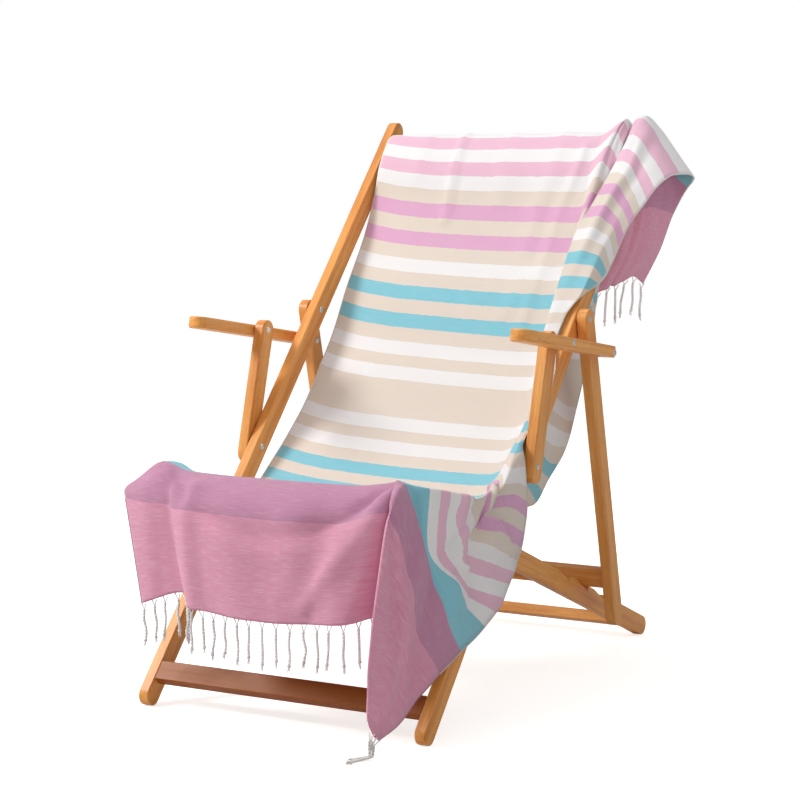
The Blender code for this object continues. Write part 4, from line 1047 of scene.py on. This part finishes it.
def turned(a, b, angle):
    return math.cos(angle) * a + math.sin(angle) * b


def tangents(points):
    found = np.gradient(points, axis=0)
    return found / np.linalg.norm(found, axis=1, keepdims=True)


def run_of(points):
    """How far along a line each of its points is."""
    gaps = np.linalg.norm(np.diff(points, axis=0), axis=1)
    return np.concatenate([[0], np.cumsum(gaps)])


def point_at(distance, run, points):
    return np.array([np.interp(distance, run, points[:, i]) for i in range(3)])


def tube(line, radius, sides, points, faces):
    """Adds a closed tube along a line."""
    line = np.asarray(line, float)
    radius = np.broadcast_to(np.asarray(radius, float), (len(line),))
    first = len(points)
    for p, d, r in zip(line, tangents(line), radius):
        a, b = square_to(d, TUBE_HELPER)
        for q in range(sides):
            points.append(p + r * turned(a, b, 2 * math.pi * q / sides))
    for k in range(len(line) - 1):
        for q in range(sides):
            a, b = first + k * sides + q, first + k * sides + (q + 1) % sides
            faces.append((a, b, b + sides, a + sides))
    faces.append(tuple(first + q for q in range(sides))[::-1])
    last = first + (len(line) - 1) * sides
    faces.append(tuple(last + q for q in range(sides)))


def twisted_cord(path, out, rng):
    """Two plies twisted together along a path, a knot near the end and a frayed tuft."""
    path = np.asarray(path, float)
    run = run_of(path)
    total = run[-1]
    at = np.linspace(TWIST_FROM, TWIST_TO * total, TWIST_STEPS)
    centre = np.array([point_at(d, run, path) for d in at])
    tangent = tangents(centre)
    for ply in (0, 1):
        line = []
        for p, d, distance in zip(centre, tangent, at):
            angle = 2 * math.pi * distance / TWIST + math.pi * ply
            line.append(p + PLY * 0.95 * turned(*square_to(d, HELPER), angle))
        tube(line, PLY, 5, *out)
    # the two plies start a little apart at the hem
    root, first = path[0], centre[0]
    side = unit(np.cross(tangent[0], (0.0, 1.0, 0.15)))
    for sign in (-1, 1):
        start = root + sign * side * ROOT_SPREAD
        near = start * 0.55 + first * 0.45
        tube([start, near, first + sign * side * 0.0004, centre[2]], PLY * 0.8, 5, *out)

    knot = point_at(KNOT_AT * total, run, path)
    down = tangent[-1]
    a, b = square_to(down, HELPER)
    loop = []
    for k in range(KNOT_STEPS + 1):
        rise = KNOT_HEIGHT * (k / KNOT_STEPS - 0.5)
        turn = 2 * math.pi * KNOT_TURNS * k / KNOT_STEPS
        loop.append(knot + KNOT_RADIUS * turned(a, b, turn) + down * rise)
    tube(loop, KNOT_CORD, 5, *out)

    for k in range(TUFT):
        angle = 2 * math.pi * k / TUFT + rng.uniform(-0.3, 0.3)
        spread = turned(a, b, angle) * rng.uniform(0.0010, 0.0034)
        length = rng.uniform(0.008, 0.014)
        end = knot + down * length + spread
        middle = knot + down * length * 0.5 + spread * 0.8
        tube([knot, middle, end], TUFT_RADII, 4, *out)


def build_fringe(name, hem, inside, columns, node, material, seed):
    """Twisted cords that hang from a hem, each on the line that its solid has."""
    off = (hem - inside)[columns]
    off /= np.linalg.norm(off, axis=1, keepdims=True)
    hem = hem[columns]
    run = run_of(hem)
    count = max(2, int(run[-1] // PITCH))
    rng = np.random.default_rng(seed)
    out = ([], [])
    for k in range(count + 1):
        at = END_INSET + (run[-1] - 2 * END_INSET) * k / count
        root = point_at(at, run, hem)
        lead = unit(point_at(at, run, off))
        slope = np.interp(at + 0.01, run, hem[:, 2]) - np.interp(at - 0.01, run, hem[:, 2])
        steep = min(1.0, abs(float(slope)) / 0.02)
        twisted_cord(cord_path(root, lead, k, steep, rng), out, rng)
    return add_mesh(name, *out, material, "fringe", (node,))


def cord_path(root, lead, number, steep, rng):
    """The line of one cord: out of the hem, down with a little sway, then along the floor."""
    sway = np.array([math.sin(2.1 * number), math.cos(1.7 * number), 0.0]) * 0.003
    reach = CORD_LENGTH * (0.94 + 0.06 * math.sin(3.3 * number))
    fall = unit(np.array([0.0, 0.0, -1.0]) + 1.2 * steep ** 2 * lead)
    bend = np.array([rng.uniform(-1, 1), rng.uniform(-0.5, 0.5), 0.0]) * 0.0022
    phase = rng.uniform(0, 2 * math.pi)
    path = []
    for distance in np.linspace(0.0, reach, PATH_STEPS):
        drop = lead * min(distance, LEAD) + fall * max(distance - LEAD, 0.0)
        centre = root + drop + sway * min(1.0, distance / reach)
        centre += bend * math.sin(phase + 9.0 * distance / reach) * min(1.0, distance / 0.03)
        if centre[2] < FLOOR_CORD:
            flat = unit(np.array([lead[0], lead[1] - 0.3, 0.0]))
            centre += flat * (FLOOR_CORD - centre[2])
            centre[2] = FLOOR_CORD
        path.append(centre)
    return path


# ---- studio
def build_camera():
    data = bpy.data.cameras.new("camera")
    data.lens = CAMERA_LENS
    data.sensor_width = SENSOR
    camera = new_object("camera", data)
    camera.location = tuple(np.asarray(CAMERA_AT) + SHIFT)
    camera.rotation_euler = (math.radians(90 - CAMERA_PITCH), 0.0, math.radians(CAMERA_YAW))
    bpy.context.scene.camera = camera


def area_light(name, at, aim, size, power, colour=PLAIN_LIGHT):
    data = bpy.data.lights.new(name, "AREA")
    data.shape = "DISK"
    data.size = size
    place_light(data, at, aim, power, colour)


def spot_light(name, at, aim, spread, power):
    """A narrow soft beam."""
    data = bpy.data.lights.new(name, "SPOT")
    data.spot_size = math.radians(spread)
    data.spot_blend = 1.0
    data.shadow_soft_size = 0.25
    place_light(data, at, aim, power, PLAIN_LIGHT)


def place_light(data, at, aim, power, colour):
    data.energy = power
    data.color = colour
    light = new_object(data.name, data)
    light.location = at
    x, y, z = np.asarray(aim, float) - np.asarray(at, float)
    light.rotation_euler = (math.atan2(math.hypot(x, y), -z), 0.0, math.atan2(y, x) - math.pi / 2)


def build_studio():
    mesh = bpy.data.meshes.new("floor")
    mesh.from_pydata([(-30, -30, 0), (30, -30, 0), (30, 30, 0), (-30, 30, 0)], [], [(0, 1, 2, 3)])
    mesh.materials.append(floor_material())
    floor = new_object("floor", mesh)
    floor.location = (0.0, 0.0, -0.0004)
    sky = Nodes("studio", "worlds", "Background", "OutputWorld")
    up = sky.add("SeparateXYZ", {0: sky.add("TexCoord", {}, "Generated")}, 2)
    rise = sky.remap(up, 0.0, 1.0, SKY_LOW, SKY_HIGH)
    seen = sky.add("LightPath", {}, "Is Camera Ray")
    strength = sky.add("Mix", {0: seen, 2: rise, 3: 1.0})
    bpy.context.scene.world = sky.set(Color=grey(1.0), Strength=strength)
    bpy.context.scene.view_settings.view_transform = "Standard"
    area_light("key", (-2.8, -2.1, 3.0), (0.0, 0.0, 0.5), 1.2, KEY_POWER, (1.0, 0.99, 0.97))
    area_light("top", (-0.6, 0.4, 3.6), (0.0, 0.0, 0.4), 2.0, TOP_POWER)
    # stands in for the light that comes through the thin cloth of the back hang
    spot_light("kicker", (2.3, -1.9, 1.1), (0.29, 0.57, 0.83), 9.0, KICKER_POWER)
    area_light("fill", (3.0, -1.2, 2.0), (0.0, 0.2, 0.6), 2.0, FILL_POWER)


def finish_fittings():
    """Steel on the bolts and wood on the spacers, which keep their solids' shapes."""
    steel = steel_material()
    for name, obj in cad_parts.items():
        if name.startswith("bolt"):
            material = steel
        elif name.startswith("spacer"):
            material = wood_material("beech_" + name, ACROSS, BACKWARD)
        else:
            continue
        obj.data.materials.clear()
        obj.data.materials.append(material)


build_camera()
build_studio()
build_chair()
finish_fittings()
towel = build_towel()
sling = build_sling()
cord = cord_material()
edges = folded_grid(ROWS, STEPS_BETWEEN_LINES)[1]
at_front, at_back = (edges[0], edges[1]), (edges[-1], edges[-2])
front = build_fringe("fringe_cords_front", *at_front, slice(0, 16), "fringe_front", cord, 3)
corner = build_fringe("fringe_cords_corner", *at_front, slice(27, 33), "fringe_corner", cord, 5)
back = build_fringe("fringe_cords_back", *at_back, slice(0, 33), "fringe_back", cord, 7)

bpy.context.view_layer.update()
